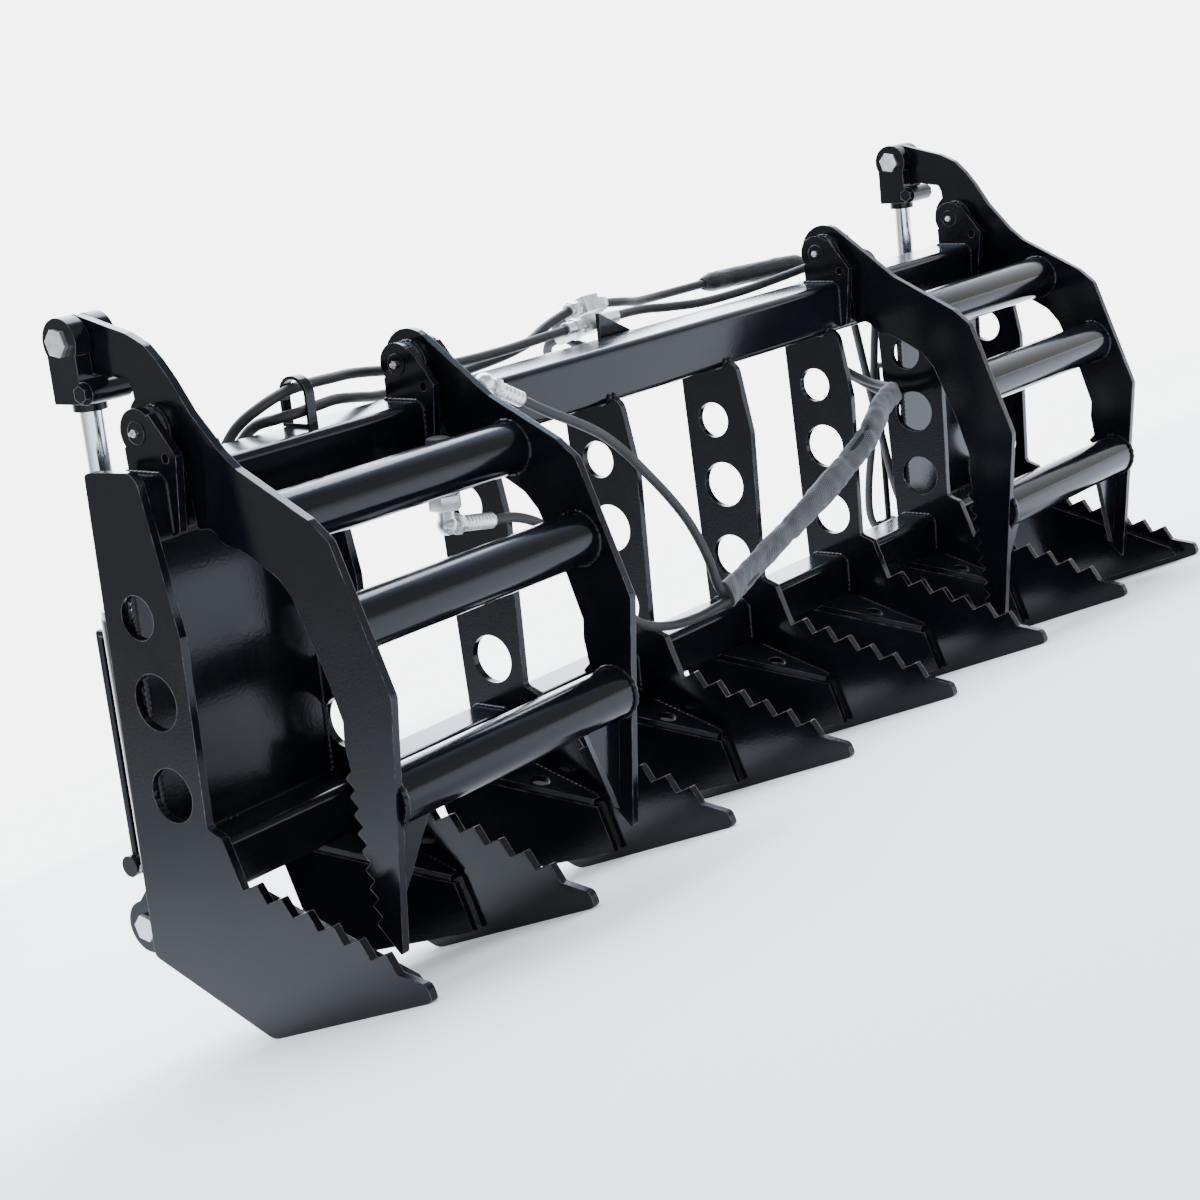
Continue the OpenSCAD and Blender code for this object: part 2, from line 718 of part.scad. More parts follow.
// Where the tables of hose points below were laid out: the cylinders, ports, inner plates and middle
// across the width, the toe reach and frame height, the top tube, a step along the leaning tubes,
// and the band of heights in which a hose passes from its low end to the top tube
laid_spread = [69, 110.6, 463.06, 915, 1366.94, 1719.4, 1761];
laid_profile = [250, 614];
laid_tube_at = [-79, 561.81];
laid_lean = [35.837, 93.358];
laid_band = [240, 560];
laid_tilt = atan2(laid_lean[0], laid_lean[1]);

// The same places now
port_out = hard_line_x + port_reach + port_stem;
rod_port_at = base_pin_at + lean([hard_line_off, line_low], cylinder_lean);
base_port_at = base_pin_at + lean([0, base_port_z], cylinder_lean);
now_spread = [outer_x, outer_x + port_out, inner_x, total_w / 2, total_w - inner_x,
    total_w - outer_x - port_out, total_w - outer_x];
function across(x) = lookup(x, [for (i = [0 : len(laid_spread) - 1]) [laid_spread[i], now_spread[i]]]);

// A route moved to the present sizes: its high points keep to the top tube, its low ones to the
// port where it ends, or else to the side profile
function fitted(route, port) = [for (p = route)
    let (flat_at = [p[1], p[2]], foot = route[len(route) - 1])
    let (share = max(0, min(1, (p[2] - laid_band[0]) / (laid_band[1] - laid_band[0]))))
    let (high = top_tube_at + lean(flat_at - laid_tube_at, frame_tilt - laid_tilt))
    let (low = port != undef ? flat_at + port - [foot[1], foot[2]]
        : [p[1] * toe_reach / laid_profile[0], p[2] * frame_h / laid_profile[1]])
    let (now = low + (high - low) * share)
    [across(p[0]), now[0], now[1]]];

rod_hose_left_laid = [[819, -44, 630], [760, -42, 628], [690, -40, 626], [600, -40, 627],
    [520, -46, 632], [460, -58, 638], [400, -70, 642], [352, -82, 641], [312, -90, 640],
    [273, -92, 638], [233, -84, 629], [212, -62, 618], [204, -36, 600], [190, 0, 560],
    [172, 50, 495], [154, 100, 425], [142, 145, 355], [138, 185, 295], [134, 208, 250],
    [126, 216, 225], [112, 217, 213], [100, 217, 213]];
base_hose_left_laid = [[866, -22, 656], [820, -18, 646], [760, -16, 628], [650, -20, 618],
    [540, -26, 613], [448, -46, 613], [400, -60, 616], [352, -78, 617], [312, -91, 614],
    [273, -95, 611], [250, -84, 612], [238, -62, 614], [232, -36, 604], [224, -6, 580],
    [212, 25, 540], [196, 58, 480], [178, 90, 410], [162, 115, 340], [148, 134, 280],
    [134, 145, 240], [118, 148, 224], [98, 148, 222]];
rod_hose_right_laid = [[935, -37, 632], [975, -32, 633], [1014, -29, 632], [1060, -32, 626],
    [1130, -38, 619], [1220, -46, 618], [1305, -52, 621], [1400, -56, 626], [1480, -52, 630],
    [1560, -46, 625], [1600, -30, 608], [1625, 0, 570], [1645, 50, 495], [1668, 100, 425],
    [1684, 145, 355], [1692, 185, 295], [1696, 208, 250], [1704, 216, 225], [1718, 217, 213],
    [1730, 217, 213]];
base_hose_right_laid = [[945, -19, 656], [1000, -8, 653], [1060, 14, 652], [1134, 30, 654],
    [1247, 34, 655]];
shrink_sleeve_laid = [[1247, 34, 655], [1300, 32, 654], [1360, 24, 651], [1420, 16, 648],
    [1479, 10, 644]];
base_hose_right_low_laid = [[1479, 10, 644], [1540, 8, 630], [1575, 20, 595], [1600, 42, 540],
    [1622, 66, 480], [1644, 92, 410], [1664, 115, 340], [1680, 134, 280], [1696, 145, 240],
    [1712, 148, 224], [1732, 148, 222]];
supply_upper_front_laid = [[562, -153, 548], [603, -150, 525], [660, -142, 500], [706, -132, 478],
    [746, -122, 450], [782, -112, 418], [812, -106, 384], [838, -100, 348], [858, -92, 312],
    [870, -85, 281], [881, -75, 256], [900, -64, 240.5]];
supply_lower_front_laid = [[482, -112, 428], [520, -113, 422], [556, -112, 406], [590, -110, 376],
    [625, -104, 326], [660, -92, 280], [710, -72, 246], [781, -56, 227], [840, -58, 222],
    [876, -62, 224], [903, -64, 226]];
sleeve_laid = [[902, -64, 233], [940, -62, 241], [990, -63, 255], [1045, -68, 271],
    [1110, -77, 291], [1190, -85, 317], [1250, -89, 337], [1305, -92, 357], [1360, -84, 379],
    [1410, -72, 396], [1459, -58, 405], [1500, -42, 408]];
supply_upper_back_laid = [[1500, -42, 416], [1528, -18, 422], [1536, 16, 440], [1526, 46, 476],
    [1500, 56, 520], [1450, 40, 556], [1390, 8, 574], [1320, -22, 581], [1252, -36, 582],
    [1228, -36, 582], [1160, -24, 582], [1095, 20, 588], [1040, 56, 600], [985, 72, 620],
    [935, 62, 645], [910, 38, 655], [905, 12, 656]];
supply_lower_back_laid = [[1501, -42, 400], [1540, -20, 404], [1556, 16, 420], [1548, 52, 462],
    [1526, 78, 500], [1466, 66, 532], [1396, 24, 556], [1320, -12, 561], [1252, -28, 562],
    [1228, -28, 562], [1160, -14, 562], [1070, 22, 566], [1000, 56, 576], [940, 68, 592],
    [893, 58, 616], [874, 36, 629], [870, 12, 630]];

rod_hose_left_route = fitted(rod_hose_left_laid, rod_port_at);
base_hose_left_route = fitted(base_hose_left_laid, base_port_at);
rod_hose_right_route = fitted(rod_hose_right_laid, rod_port_at);
base_hose_right_route = fitted(base_hose_right_laid);
shrink_sleeve_route = fitted(shrink_sleeve_laid);
base_hose_right_low_route = fitted(base_hose_right_low_laid, base_port_at);
supply_upper_front_route = fitted(supply_upper_front_laid);
supply_lower_front_route = fitted(supply_lower_front_laid);
sleeve_route = fitted(sleeve_laid);
supply_upper_back_route = fitted(supply_upper_back_laid);
supply_lower_back_route = fitted(supply_lower_back_laid);

// Points on the hoses where they pass the saddle
saddle_upper = [supply_upper_back_route[8][1], supply_upper_back_route[8][2]];
saddle_lower = [supply_lower_back_route[8][1], supply_lower_back_route[8][2]];
saddle_x = (supply_upper_back_route[8][0] + supply_upper_back_route[9][0]) / 2;

module left_clamp_hoses() {
    hose(rod_hose_left_route, tee_low);
    hose(base_hose_left_route, tee_high);
}

module right_clamp_hoses() {
    hose(rod_hose_right_route, tee_low);
    hose(base_hose_right_route, tee_high, shrink_sleeve_route[1]);
    hose(base_hose_right_low_route, shrink_sleeve_route[3]);
}

module shrink_sleeve() {
    color(rubber) swept(shrink_sleeve_route, shrink_d, shrink_d, 12);
}

// Way into the sleeve at its low end and out of it at its high end
sleeve_last = len(sleeve_route) - 1;
sleeve_in = sleeve_route[1] - sleeve_route[0];
sleeve_out = sleeve_route[sleeve_last] - sleeve_route[sleeve_last - 1];
module supply_hose(front, back, coupler_at, tee_at) {
    hose(front, from_tube(coupler_at), front[len(front) - 1] + sleeve_in);
    hose(back, back[0] - sleeve_out, tee_at);
}

module supply_hose_upper() {
    supply_hose(supply_upper_front_route, supply_upper_back_route, upper_coupler, tee_high);
}

module supply_hose_lower() {
    supply_hose(supply_lower_front_route, supply_lower_back_route, lower_coupler, tee_low);
}

module woven_sleeve() {
    color("#55585b") swept(sleeve_route, sleeve_w, sleeve_t, 12);
}

/* Hose fittings */
// Local y and z lie along and up from the top tube's sloping top face
module on_tube() {
    translate([0, top_tube_at[0], top_tube_at[1]]) rotate([frame_tilt, 0, 0]) children();
}

guide_share = 1.085;
guide_gap = 34;
guide_leg_h = 36;
guide_u = 10;
module hose_guide() {
    outer = guide_gap + 2 * guide_bar_t;
    left = guide_share * tine_pitch - guide_bar_w / 2;
    color(paint) on_tube() translate([left, guide_u, top_tube_w / 2])
        rotate([90, 0, 90]) linear_extrude(guide_bar_w) difference() {
            union() {
                translate([-outer / 2, 0]) square([outer, guide_leg_h]);
                translate([0, guide_leg_h]) circle(d = outer);
            }
            translate([-guide_gap / 2, guide_bar_t]) square([guide_gap, guide_leg_h - guide_bar_t]);
            translate([0, guide_leg_h]) circle(d = guide_gap);
        }
}

// Bracket of the tees: a plate on the top tube's rear face, its top edge falling to the right
bracket_left = 6;
bracket_w = 64;
bracket_h = 31;
bracket_t = 5.5;
bracket_lap = 30;
module tee_bracket() {
    half = top_tube_w / 2;
    color(paint) on_tube() translate([tee_low[0] - bracket_left, half + bracket_t, 0]) rotate([90, 0, 0])
        linear_extrude(bracket_t) polygon([
            [0, half - bracket_lap], [bracket_w, half - bracket_lap], [bracket_w, half], [0, half + bracket_h]
        ]);
}

// Crimped hose end: stem, hexagon nut, then the ferrule that ends where the hose shows
crimp_nut_h = 10;
nut_ledge = 2;
module crimp(a, b, w, stem) {
    past_nut = stem + crimp_nut_h;
    aimed(a, b) {
        cylinder(d = w, h = stem);
        translate([0, 0, stem]) cylinder(d = (w + 2 * nut_ledge) / cos(30), h = crimp_nut_h, $fn = 6);
        translate([0, 0, past_nut]) cylinder(d = crimp_d, h = norm(b - a) - past_nut);
    }
}

tee_laid = [[870, -44, 630], [905, -22, 658]];
tee_low = fitted(tee_laid)[0];
tee_high = fitted(tee_laid)[1];
tee_block = [32, 26, 22];
tee_stem_d = 16;
tee_stem_side = 24;
tee_stem_back = 22;
module tee(at, left, right, back) {
    color(zinc) {
        translate(at - tee_block / 2) cube(tee_block);
        crimp(at, left, tee_stem_d, tee_stem_side);
        crimp(at, right, tee_stem_d, tee_stem_side);
        crimp(at, back, tee_stem_d, tee_stem_back);
    }
}

module tee_fittings() {
    last_low = len(supply_lower_back_route) - 1;
    last_high = len(supply_upper_back_route) - 1;
    tee(tee_low, rod_hose_left_route[0], rod_hose_right_route[0], supply_lower_back_route[last_low]);
    tee(tee_high, base_hose_left_route[0], base_hose_right_route[0],
        supply_upper_back_route[last_high]);
}

saddle_w = 24;
saddle_h = 46;
module hose_saddle() {
    color(paint) plate(saddle_x - saddle_w / 2, saddle_w) difference() {
        translate(top_tube_at) rotate(frame_tilt) translate([top_tube_w / 2, -saddle_h / 2])
            square([2 * hose_d, saddle_h]);
        translate(saddle_upper) circle(d = hose_d + 2 * run_gap);
        translate(saddle_lower) circle(d = hose_d + 2 * run_gap);
    }
}

// Parked couplers: places across the frame and, in the top tube's own lean, forward and up of it
coupler_len = 88;
clip_t = 6;
clip_edge = 2.2;
lower_coupler_in = 57;
upper_coupler = [inner_x + ear_gap / 2 + plate_t + side_gap + coupler_d / 2 + clip_edge, -67, 43];
lower_coupler = [inner_x - lower_coupler_in, -78, -101];
function from_tube(p) = let (q = lean([p[1], p[2]], frame_tilt) + top_tube_at) [p[0], q[0], q[1]];

module coupler_clip(x, u, v, back) {
    on_tube() translate([x, 0, v]) linear_extrude(clip_t) difference() {
        union() {
            translate([-coupler_d / 2 - clip_edge, u]) square([coupler_d + 2 * clip_edge, back - u]);
            translate([0, u]) circle(d = coupler_d + 2 * clip_edge);
        }
        translate([0, u]) circle(d = coupler_d + 2 * run_gap);
    }
}

module coupler_clips() {
    color(paint) {
        coupler_clip(upper_coupler[0], upper_coupler[1], -clip_t / 2, -top_tube_w / 2);
        coupler_clip(lower_coupler[0], lower_coupler[1], -top_tube_w / 2 - clip_t, -top_tube_w / 4);
    }
}

// Coupler with its elbow at the hose end; up is 1 for one that stands above its elbow
elbow_d = 24;
elbow_stem_d = 19;
elbow_nut_z = 18;
coupler_nut_w = 34;
module coupler(at, up, hose_end) {
    color(zinc) {
        translate(from_tube(at)) sphere(d = elbow_d);
        on_tube() translate(at) mirror([0, 0, up > 0 ? 0 : 1]) {
            cylinder(d = elbow_stem_d, h = elbow_nut_z);
            translate([0, 0, elbow_nut_z])
                cylinder(d = coupler_nut_w / cos(30), h = elbow_nut_z, $fn = 6);
            translate([0, 0, 2 * elbow_nut_z]) cylinder(d = coupler_d, h = coupler_len - 2 * elbow_nut_z);
        }
        crimp(from_tube(at), hose_end, elbow_stem_d, crimp_nut_h);
    }
}

module couplers() {
    coupler(upper_coupler, -1, supply_upper_front_route[0]);
    coupler(lower_coupler, 1, supply_lower_front_route[0]);
}

cap_h = 14;
cap_wall = 1.5;
module dust_cap(at, up) {
    color(rubber) on_tube() translate(at) mirror([0, 0, up > 0 ? 0 : 1])
        translate([0, 0, coupler_len]) cylinder(d = coupler_d + 2 * cap_wall, h = cap_h);
}

module dust_caps() {
    dust_cap(upper_coupler, -1);
    dust_cap(lower_coupler, 1);
}

/* The nodes */
framed() tine(0);  // tine_1
framed() tine(1);  // tine_2
framed() tine(2);  // tine_3
framed() tine(3);  // tine_4
framed() tine(4);  // tine_5
framed() tine(5);  // tine_6
framed() tine(6);  // tine_7
framed() tine(7);  // tine_8
framed() frame_tube(bottom_tube_at, bottom_tube_w);  // bottom_tube
framed() frame_tube(top_tube_at, top_tube_w);  // top_tube
framed() both_sides() side_sheet();  // side_sheets
framed() color(paint) at_inner_tines() brace_plate();  // brace_plates
framed() color(paint) at_inner_tines() brace_skirt();  // brace_skirts
framed() both_sides() end_tine_doubler();  // end_tine_doublers
framed() color(paint) both_sides() ear_pairs() ear_shape();  // pivot_ears
framed() color(paint) both_sides() cylinder_lug_pair();  // cylinder_lugs
framed() color(paint) at_pivots() pivot_pin();  // pivot_pins
framed() color(paint) at_pivots() keeper_bolt();  // keeper_bolts
framed() color(zinc) at_pivots() grease_nipple();  // grease_nipples
framed() color(zinc) both_sides() base_pin();  // base_pins
framed() hose_guide();
framed() tee_bracket();
framed() tee_fittings();
framed() left_clamp_hoses();
framed() right_clamp_hoses();
framed() shrink_sleeve();
framed() hose_saddle();
framed() coupler_clips();
framed() supply_hose_upper();
framed() supply_hose_lower();
framed() woven_sleeve();
framed() couplers();
framed() dust_caps();
framed() on_side(false) clamp_plate(outer_x, true);  // left_clamp_outer_plate
framed() on_side(false) clamp_plate(inner_x, false);  // left_clamp_inner_plate
framed() on_side(false) clamp_cross_tubes();  // left_clamp_cross_tubes
framed() on_side(false) clamp_tip_webs();  // left_clamp_tip_webs
framed() on_side(false) clamp_bushes();  // left_clamp_bushes
framed() on_side(false) rod();  // left_rod
framed() on_side(false) piston();  // left_piston
framed() on_side(false) clevis();  // left_clevis
framed() on_side(false) clevis_pins();  // left_clevis_pins
framed() on_side(false) pinch_bolt();  // left_pinch_bolt
framed() on_side(false) barrel();  // left_barrel
framed() on_side(false) gland();  // left_gland
framed() on_side(false) hard_line();  // left_hard_line
framed() on_side(true) clamp_plate(outer_x, true);  // right_clamp_outer_plate
framed() on_side(true) clamp_plate(inner_x, false);  // right_clamp_inner_plate
framed() on_side(true) clamp_cross_tubes();  // right_clamp_cross_tubes
framed() on_side(true) clamp_tip_webs();  // right_clamp_tip_webs
framed() on_side(true) clamp_bushes();  // right_clamp_bushes
framed() on_side(true) rod();  // right_rod
framed() on_side(true) piston();  // right_piston
framed() on_side(true) clevis();  // right_clevis
framed() on_side(true) clevis_pins();  // right_clevis_pins
framed() on_side(true) pinch_bolt();  // right_pinch_bolt
framed() on_side(true) barrel();  // right_barrel
framed() on_side(true) gland();  // right_gland
framed() on_side(true) hard_line();  // right_hard_line
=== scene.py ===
"""Root grapple: finishes, soft pieces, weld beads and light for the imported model.

Sizes are in metres, in the model's own frame, except where a comment says millimetres.
"""

import json
import math

import bmesh
import bpy
from mathutils import Matrix, Vector, noise


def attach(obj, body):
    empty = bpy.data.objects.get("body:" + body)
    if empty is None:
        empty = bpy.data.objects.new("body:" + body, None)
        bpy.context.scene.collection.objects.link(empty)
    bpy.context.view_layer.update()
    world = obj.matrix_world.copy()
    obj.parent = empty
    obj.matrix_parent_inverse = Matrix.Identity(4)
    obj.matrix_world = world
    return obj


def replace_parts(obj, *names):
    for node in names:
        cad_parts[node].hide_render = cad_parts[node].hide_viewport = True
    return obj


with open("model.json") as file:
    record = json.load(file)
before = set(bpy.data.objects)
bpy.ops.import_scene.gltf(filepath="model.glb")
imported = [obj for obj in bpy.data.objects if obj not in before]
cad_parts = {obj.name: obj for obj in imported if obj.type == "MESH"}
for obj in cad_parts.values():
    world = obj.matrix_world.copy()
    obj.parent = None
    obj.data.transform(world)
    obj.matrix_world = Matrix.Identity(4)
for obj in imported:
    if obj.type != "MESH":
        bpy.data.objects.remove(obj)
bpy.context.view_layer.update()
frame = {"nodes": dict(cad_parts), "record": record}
nodes = frame["nodes"]

# The part's own layout, from its source: millimetres across, from front to back, and up
MIDDLE_X, MIDDLE_Y = 915.0, 27.735
TINES, TINE_PITCH, PLATE = 8, 260.0, 10.0
TOE_REACH, FRAME_H = 250.0, 614.0
TILT = math.radians(21)
# Middles in the side profile, as shares of the toes' reach and of the frame's height; W is a tube's width
BOTTOM_TUBE, BOTTOM_W = (0.192, 0.3135), 60.0
TOP_TUBE, TOP_W = (-0.316, 0.915), 70.0
PIVOT, BASE_PIN, HOOK = (-0.428, 1.031), (0.7, 0.2394), (-0.176, 1.228)
CROSS_TUBES = ((-0.8, 0.806), (-0.984, 0.603), (-0.846, 0.316))
SHEET_FOOT = (0.22, 0.373)
# Middles of a clamp's outer and inner plate, across the part
OUTER_X, INNER_X = 0.2654 * TINE_PITCH, 1.781 * TINE_PITCH
TOTAL_W = (TINES - 1) * TINE_PITCH + PLATE
# Bend of each coupler's elbow: across, then backwards and up from the top tube's middle in its own lean
UPPER_COUPLER, LOWER_COUPLER = (508, -67, 43), (406, -78, -101)


def at(x, y, z):
    """A point of the part's layout as a point of the model, in metres."""
    return Vector(((x - MIDDLE_X) / 1000, (y + MIDDLE_Y) / 1000, z / 1000))


def side(share):
    """A point of the side profile, in millimetres, from its shares of the reach and of the height."""
    return Vector((share[0] * TOE_REACH, share[1] * FRAME_H))


def on_tube(centre, u, v):
    """A point beside a leaning square tube, in millimetres: u backwards, v up in the tube's lean."""
    c, s = math.cos(TILT), math.sin(TILT)
    middle = side(centre)
    return Vector((middle.x + u * c - v * s, middle.y + u * s + v * c))


def on_side(x, mirror):
    """A place across the part, or its mirror image on the right half."""
    return TOTAL_W - x if mirror else x


# ---- Camera, at the photograph's viewing angle

CAMERA_AT = (-2.4031, -1.8987, 0.3443)
CAMERA_RIGHT = (0.6031377, -0.70726842, -0.36877675)
CAMERA_UP = (0.25426616, -0.26773468, 0.92933678)
CAMERA_BACK = (-0.75602489, -0.6542855, 0.01835355)
LENS_MM, SENSOR_MM = 69.04, 36
FAR_CLIP = 120

camera_data = bpy.data.cameras.new("camera")
camera_data.lens, camera_data.sensor_width, camera_data.clip_end = LENS_MM, SENSOR_MM, FAR_CLIP
camera = bpy.data.objects.new("camera", camera_data)
bpy.context.scene.collection.objects.link(camera)
turn = Matrix((CAMERA_RIGHT, CAMERA_UP, CAMERA_BACK)).transposed().to_4x4()
camera.matrix_world = Matrix.Translation(CAMERA_AT) @ turn
bpy.context.scene.camera = camera


# ---- Materials
# A noise's scale is its number of cells in a metre, so a scale of 5 gives marks about 200 mm wide


def srgb(code):
    """A colour in hex, as the linear colour that shaders take."""
    values = [int(code[i : i + 2], 16) / 255 for i in (1, 3, 5)]
    return [v / 12.92 if v <= 0.04045 else ((v + 0.055) / 1.055) ** 2.4 for v in values] + [1]


def add(tree, kind, inputs, stops=(), **settings):
    """Adds a shader node with its settings, its colour stops, and a value or a link on each named input."""
    made = tree.nodes.new("ShaderNode" + kind)
    for name, value in settings.items():
        setattr(made, name, value)
    if stops:
        for cell, (spot, code) in zip(made.color_ramp.elements, stops):
            cell.position, cell.color = spot, srgb(code)
    for name, value in inputs.items():
        if isinstance(value, bpy.types.NodeSocket):
            tree.links.new(value, made.inputs[name])
        else:
            made.inputs[name].default_value = value
    return made


def finish_named(name):
    """A new material with its tree, its shader and the object coordinates."""
    made = bpy.data.materials.new(name)
    made.use_nodes = True
    tree = made.node_tree
    place = add(tree, "TexCoord", {}).outputs["Object"]
    return made, tree, tree.nodes["Principled BSDF"], place


def black_enamel(name, dusty):
    """Gloss black enamel, sprayed on steel plate.

    Deep black with a blue cast, slightly clouded gloss, orange peel, a little dust on faces that look up,
    and pale bare steel in chip marks along the arrises, whose pale tone is also a painted highlight on the
    edges.
    """
    made, tree, shader, place = finish_named(name)
    clouds = add(tree, "TexNoise", {"Vector": place, "Scale": 5.0,
        "Detail": 3.0, "Roughness": 0.55}).outputs[0]
    paint = add(tree, "ValToRGB", {"Fac": clouds}, stops=[(0.3, "#05060a"), (0.7, "#0b0d12")]).outputs[0]

    # Dust on upward faces, thin where the clouds are dark
    normal = add(tree, "NewGeometry", {}).outputs["Normal"]
    upward = add(tree, "SeparateXYZ", {0: normal}).outputs["Z"]
    lies = add(tree, "MapRange", {"Value": upward, "From Min": 0.3, "From Max": 1.0, "To Min": 0.0,
        "To Max": dusty}).outputs[0]
    dust = add(tree, "Math", {0: lies, 1: clouds}, operation="MULTIPLY").outputs[0]
    grime = [(0.0, "#24282c"), (1.0, "#3a3f43")]
    dust_tone = add(tree, "ValToRGB", {"Fac": clouds}, stops=grime).outputs[0]
    # Inputs 6 and 7 of a Mix node are its two colours, and output 2 is the mixed colour
    coloured = add(tree, "Mix", {0: dust, 6: paint, 7: dust_tone}, data_type="RGBA").outputs[2]

    # Chip marks of bare steel about 26 mm apart, only where a rounded normal leans away from the face, so
    # along sharp edges; their pale tone is partly real wear and partly a painted highlight on the arrises
    chip_and_highlight_noise = add(tree, "TexNoise", {"Vector": place, "Scale": 38.0,
        "Detail": 5.0, "Roughness": 0.7}).outputs[0]
    rounded = add(tree, "Bevel", {"Radius": 0.0014}, samples=4).outputs[0]
    flatness = add(tree, "VectorMath", {0: rounded, 1: normal}, operation="DOT_PRODUCT").outputs["Value"]
    edges = add(tree, "MapRange", {"Value": flatness, "From Min": 0.86, "From Max": 0.995, "To Min": 1.0,
        "To Max": 0.0}).outputs[0]
    chip_and_highlight_patches = add(tree, "MapRange", {"Value": chip_and_highlight_noise, "From Min": 0.42, "From Max": 0.66, "To Min": 0.05,
        "To Max": 0.8}).outputs[0]
    chips_and_edge_highlight = add(tree, "Math", {0: edges, 1: chip_and_highlight_patches}, operation="MULTIPLY").outputs[0]
    # Pale steel colour of the chip marks: bare metal, and also a painted highlight along the edges
    bare_steel_and_highlight_tone = add(tree, "ValToRGB", {"Fac": chip_and_highlight_noise}, stops=[(0.0, "#6d7073"), (1.0, "#a3a7aa")]).outputs[0]
    tone = add(tree, "Mix", {0: chips_and_edge_highlight, 6: coloured, 7: bare_steel_and_highlight_tone}, data_type="RGBA").outputs[2]
    tree.links.new(tone, shader.inputs["Base Color"])

    # Gloss that drifts over about 70 mm, duller under dust
    drift = add(tree, "TexNoise", {"Vector": place, "Scale": 14.0,
        "Detail": 3.0, "Roughness": 0.55}).outputs[0]
    gloss = add(tree, "MapRange", {"Value": drift, "From Min": 0.3, "From Max": 0.75, "To Min": 0.10,
        "To Max": 0.19}).outputs[0]
    dull = add(tree, "Math", {0: dust, 1: 0.35}, operation="MULTIPLY").outputs[0]
    roughness = add(tree, "Math", {0: gloss, 1: dull}, operation="ADD").outputs[0]
    tree.links.new(roughness, shader.inputs["Roughness"])

    # Real orange peel is 1 to 2 mm wide: drawn at about 4 mm, so that it shows
    peel = add(tree, "TexNoise", {"Vector": place, "Scale": 260.0,
        "Detail": 2.0, "Roughness": 0.55}).outputs[0]
    soft_edge = add(tree, "Bevel", {"Radius": 0.0012}, samples=4).outputs[0]
    relief = add(tree, "Bump", {"Height": peel, "Normal": soft_edge, "Strength": 0.12, "Distance": 0.0006})
    tree.links.new(relief.outputs[0], shader.inputs["Normal"])
    shader.inputs["IOR"].default_value = 1.3
    return made


def metal(name, tones, roughness, scale, wear=0.0, stretch=None, streaks=0.05):
    """Bare or plated metal: tone and roughness vary with a fine grain, drawn out where it was turned.

    The real grain is under 1 mm wide. It is drawn at 1000 / scale millimetres, so that it shows.
    """
    made, tree, shader, place = finish_named(name)
    lie = add(tree, "Mapping", {"Vector": place, "Scale": stretch}).outputs[0] if stretch else place
    fine = add(tree, "TexNoise", {"Vector": lie, "Scale": scale,
        "Detail": 4.0, "Roughness": 0.6}).outputs[0]
    tone = add(tree, "ValToRGB", {"Fac": fine}, stops=list(zip((0.25, 0.75), tones))).outputs[0]
    if wear:
        # Dull handling marks about 18 mm wide
        smears = add(tree, "TexNoise", {"Vector": place, "Scale": 55.0, "Detail": 5.0, "Roughness": 0.55})
        marks = add(tree, "MapRange", {"Value": smears.outputs[0], "From Min": 0.5, "From Max": 0.75,
            "To Min": 0.0, "To Max": wear}).outputs[0]
        dull = add(tree, "ValToRGB", {"Fac": fine}, stops=[(0.0, "#4c4d4c"), (1.0, "#6b6a66")]).outputs[0]
        tone = add(tree, "Mix", {0: marks, 6: tone, 7: dull}, data_type="RGBA").outputs[2]
    tree.links.new(tone, shader.inputs["Base Color"])
    rough = add(tree, "MapRange", {"Value": fine, "From Min": 0.3, "From Max": 0.7, "To Min": roughness,
        "To Max": roughness + 0.18}).outputs[0]
    tree.links.new(rough, shader.inputs["Roughness"])
    rounded = add(tree, "Bevel", {"Radius": 0.0007}, samples=4).outputs[0]
    relief = add(tree, "Bump", {"Height": fine, "Normal": rounded, "Strength": streaks, "Distance": 0.0003})
    tree.links.new(relief.outputs[0], shader.inputs["Normal"])
    shader.inputs["Metallic"].default_value = 1
    return made


def hose_rubber():
    """Synthetic hose cover: matt black with the print of its cloth wrapping, 1 mm wide, and some dust."""
    made, tree, shader, place = finish_named("hose_cover_rubber")
    weave = {"Vector": place, "Scale": 900.0, "Detail": 2.0, "Roughness": 0.55}
    cloth = add(tree, "TexNoise", weave).outputs[0]
    dust = add(tree, "TexNoise", {"Vector": place, "Scale": 24.0,
        "Detail": 4.0, "Roughness": 0.55}).outputs[0]
    tone = add(tree, "ValToRGB", {"Fac": dust}, stops=[(0.35, "#0d0c0b"), (0.8, "#211f1c")]).outputs[0]
    tree.links.new(tone, shader.inputs["Base Color"])
    rough = add(tree, "MapRange", {"Value": cloth, "To Min": 0.5, "To Max": 0.72}).outputs[0]
    tree.links.new(rough, shader.inputs["Roughness"])
    relief = add(tree, "Bump", {"Height": cloth, "Strength": 0.25, "Distance": 0.0004}).outputs[0]
    tree.links.new(relief, shader.inputs["Normal"])
    return made


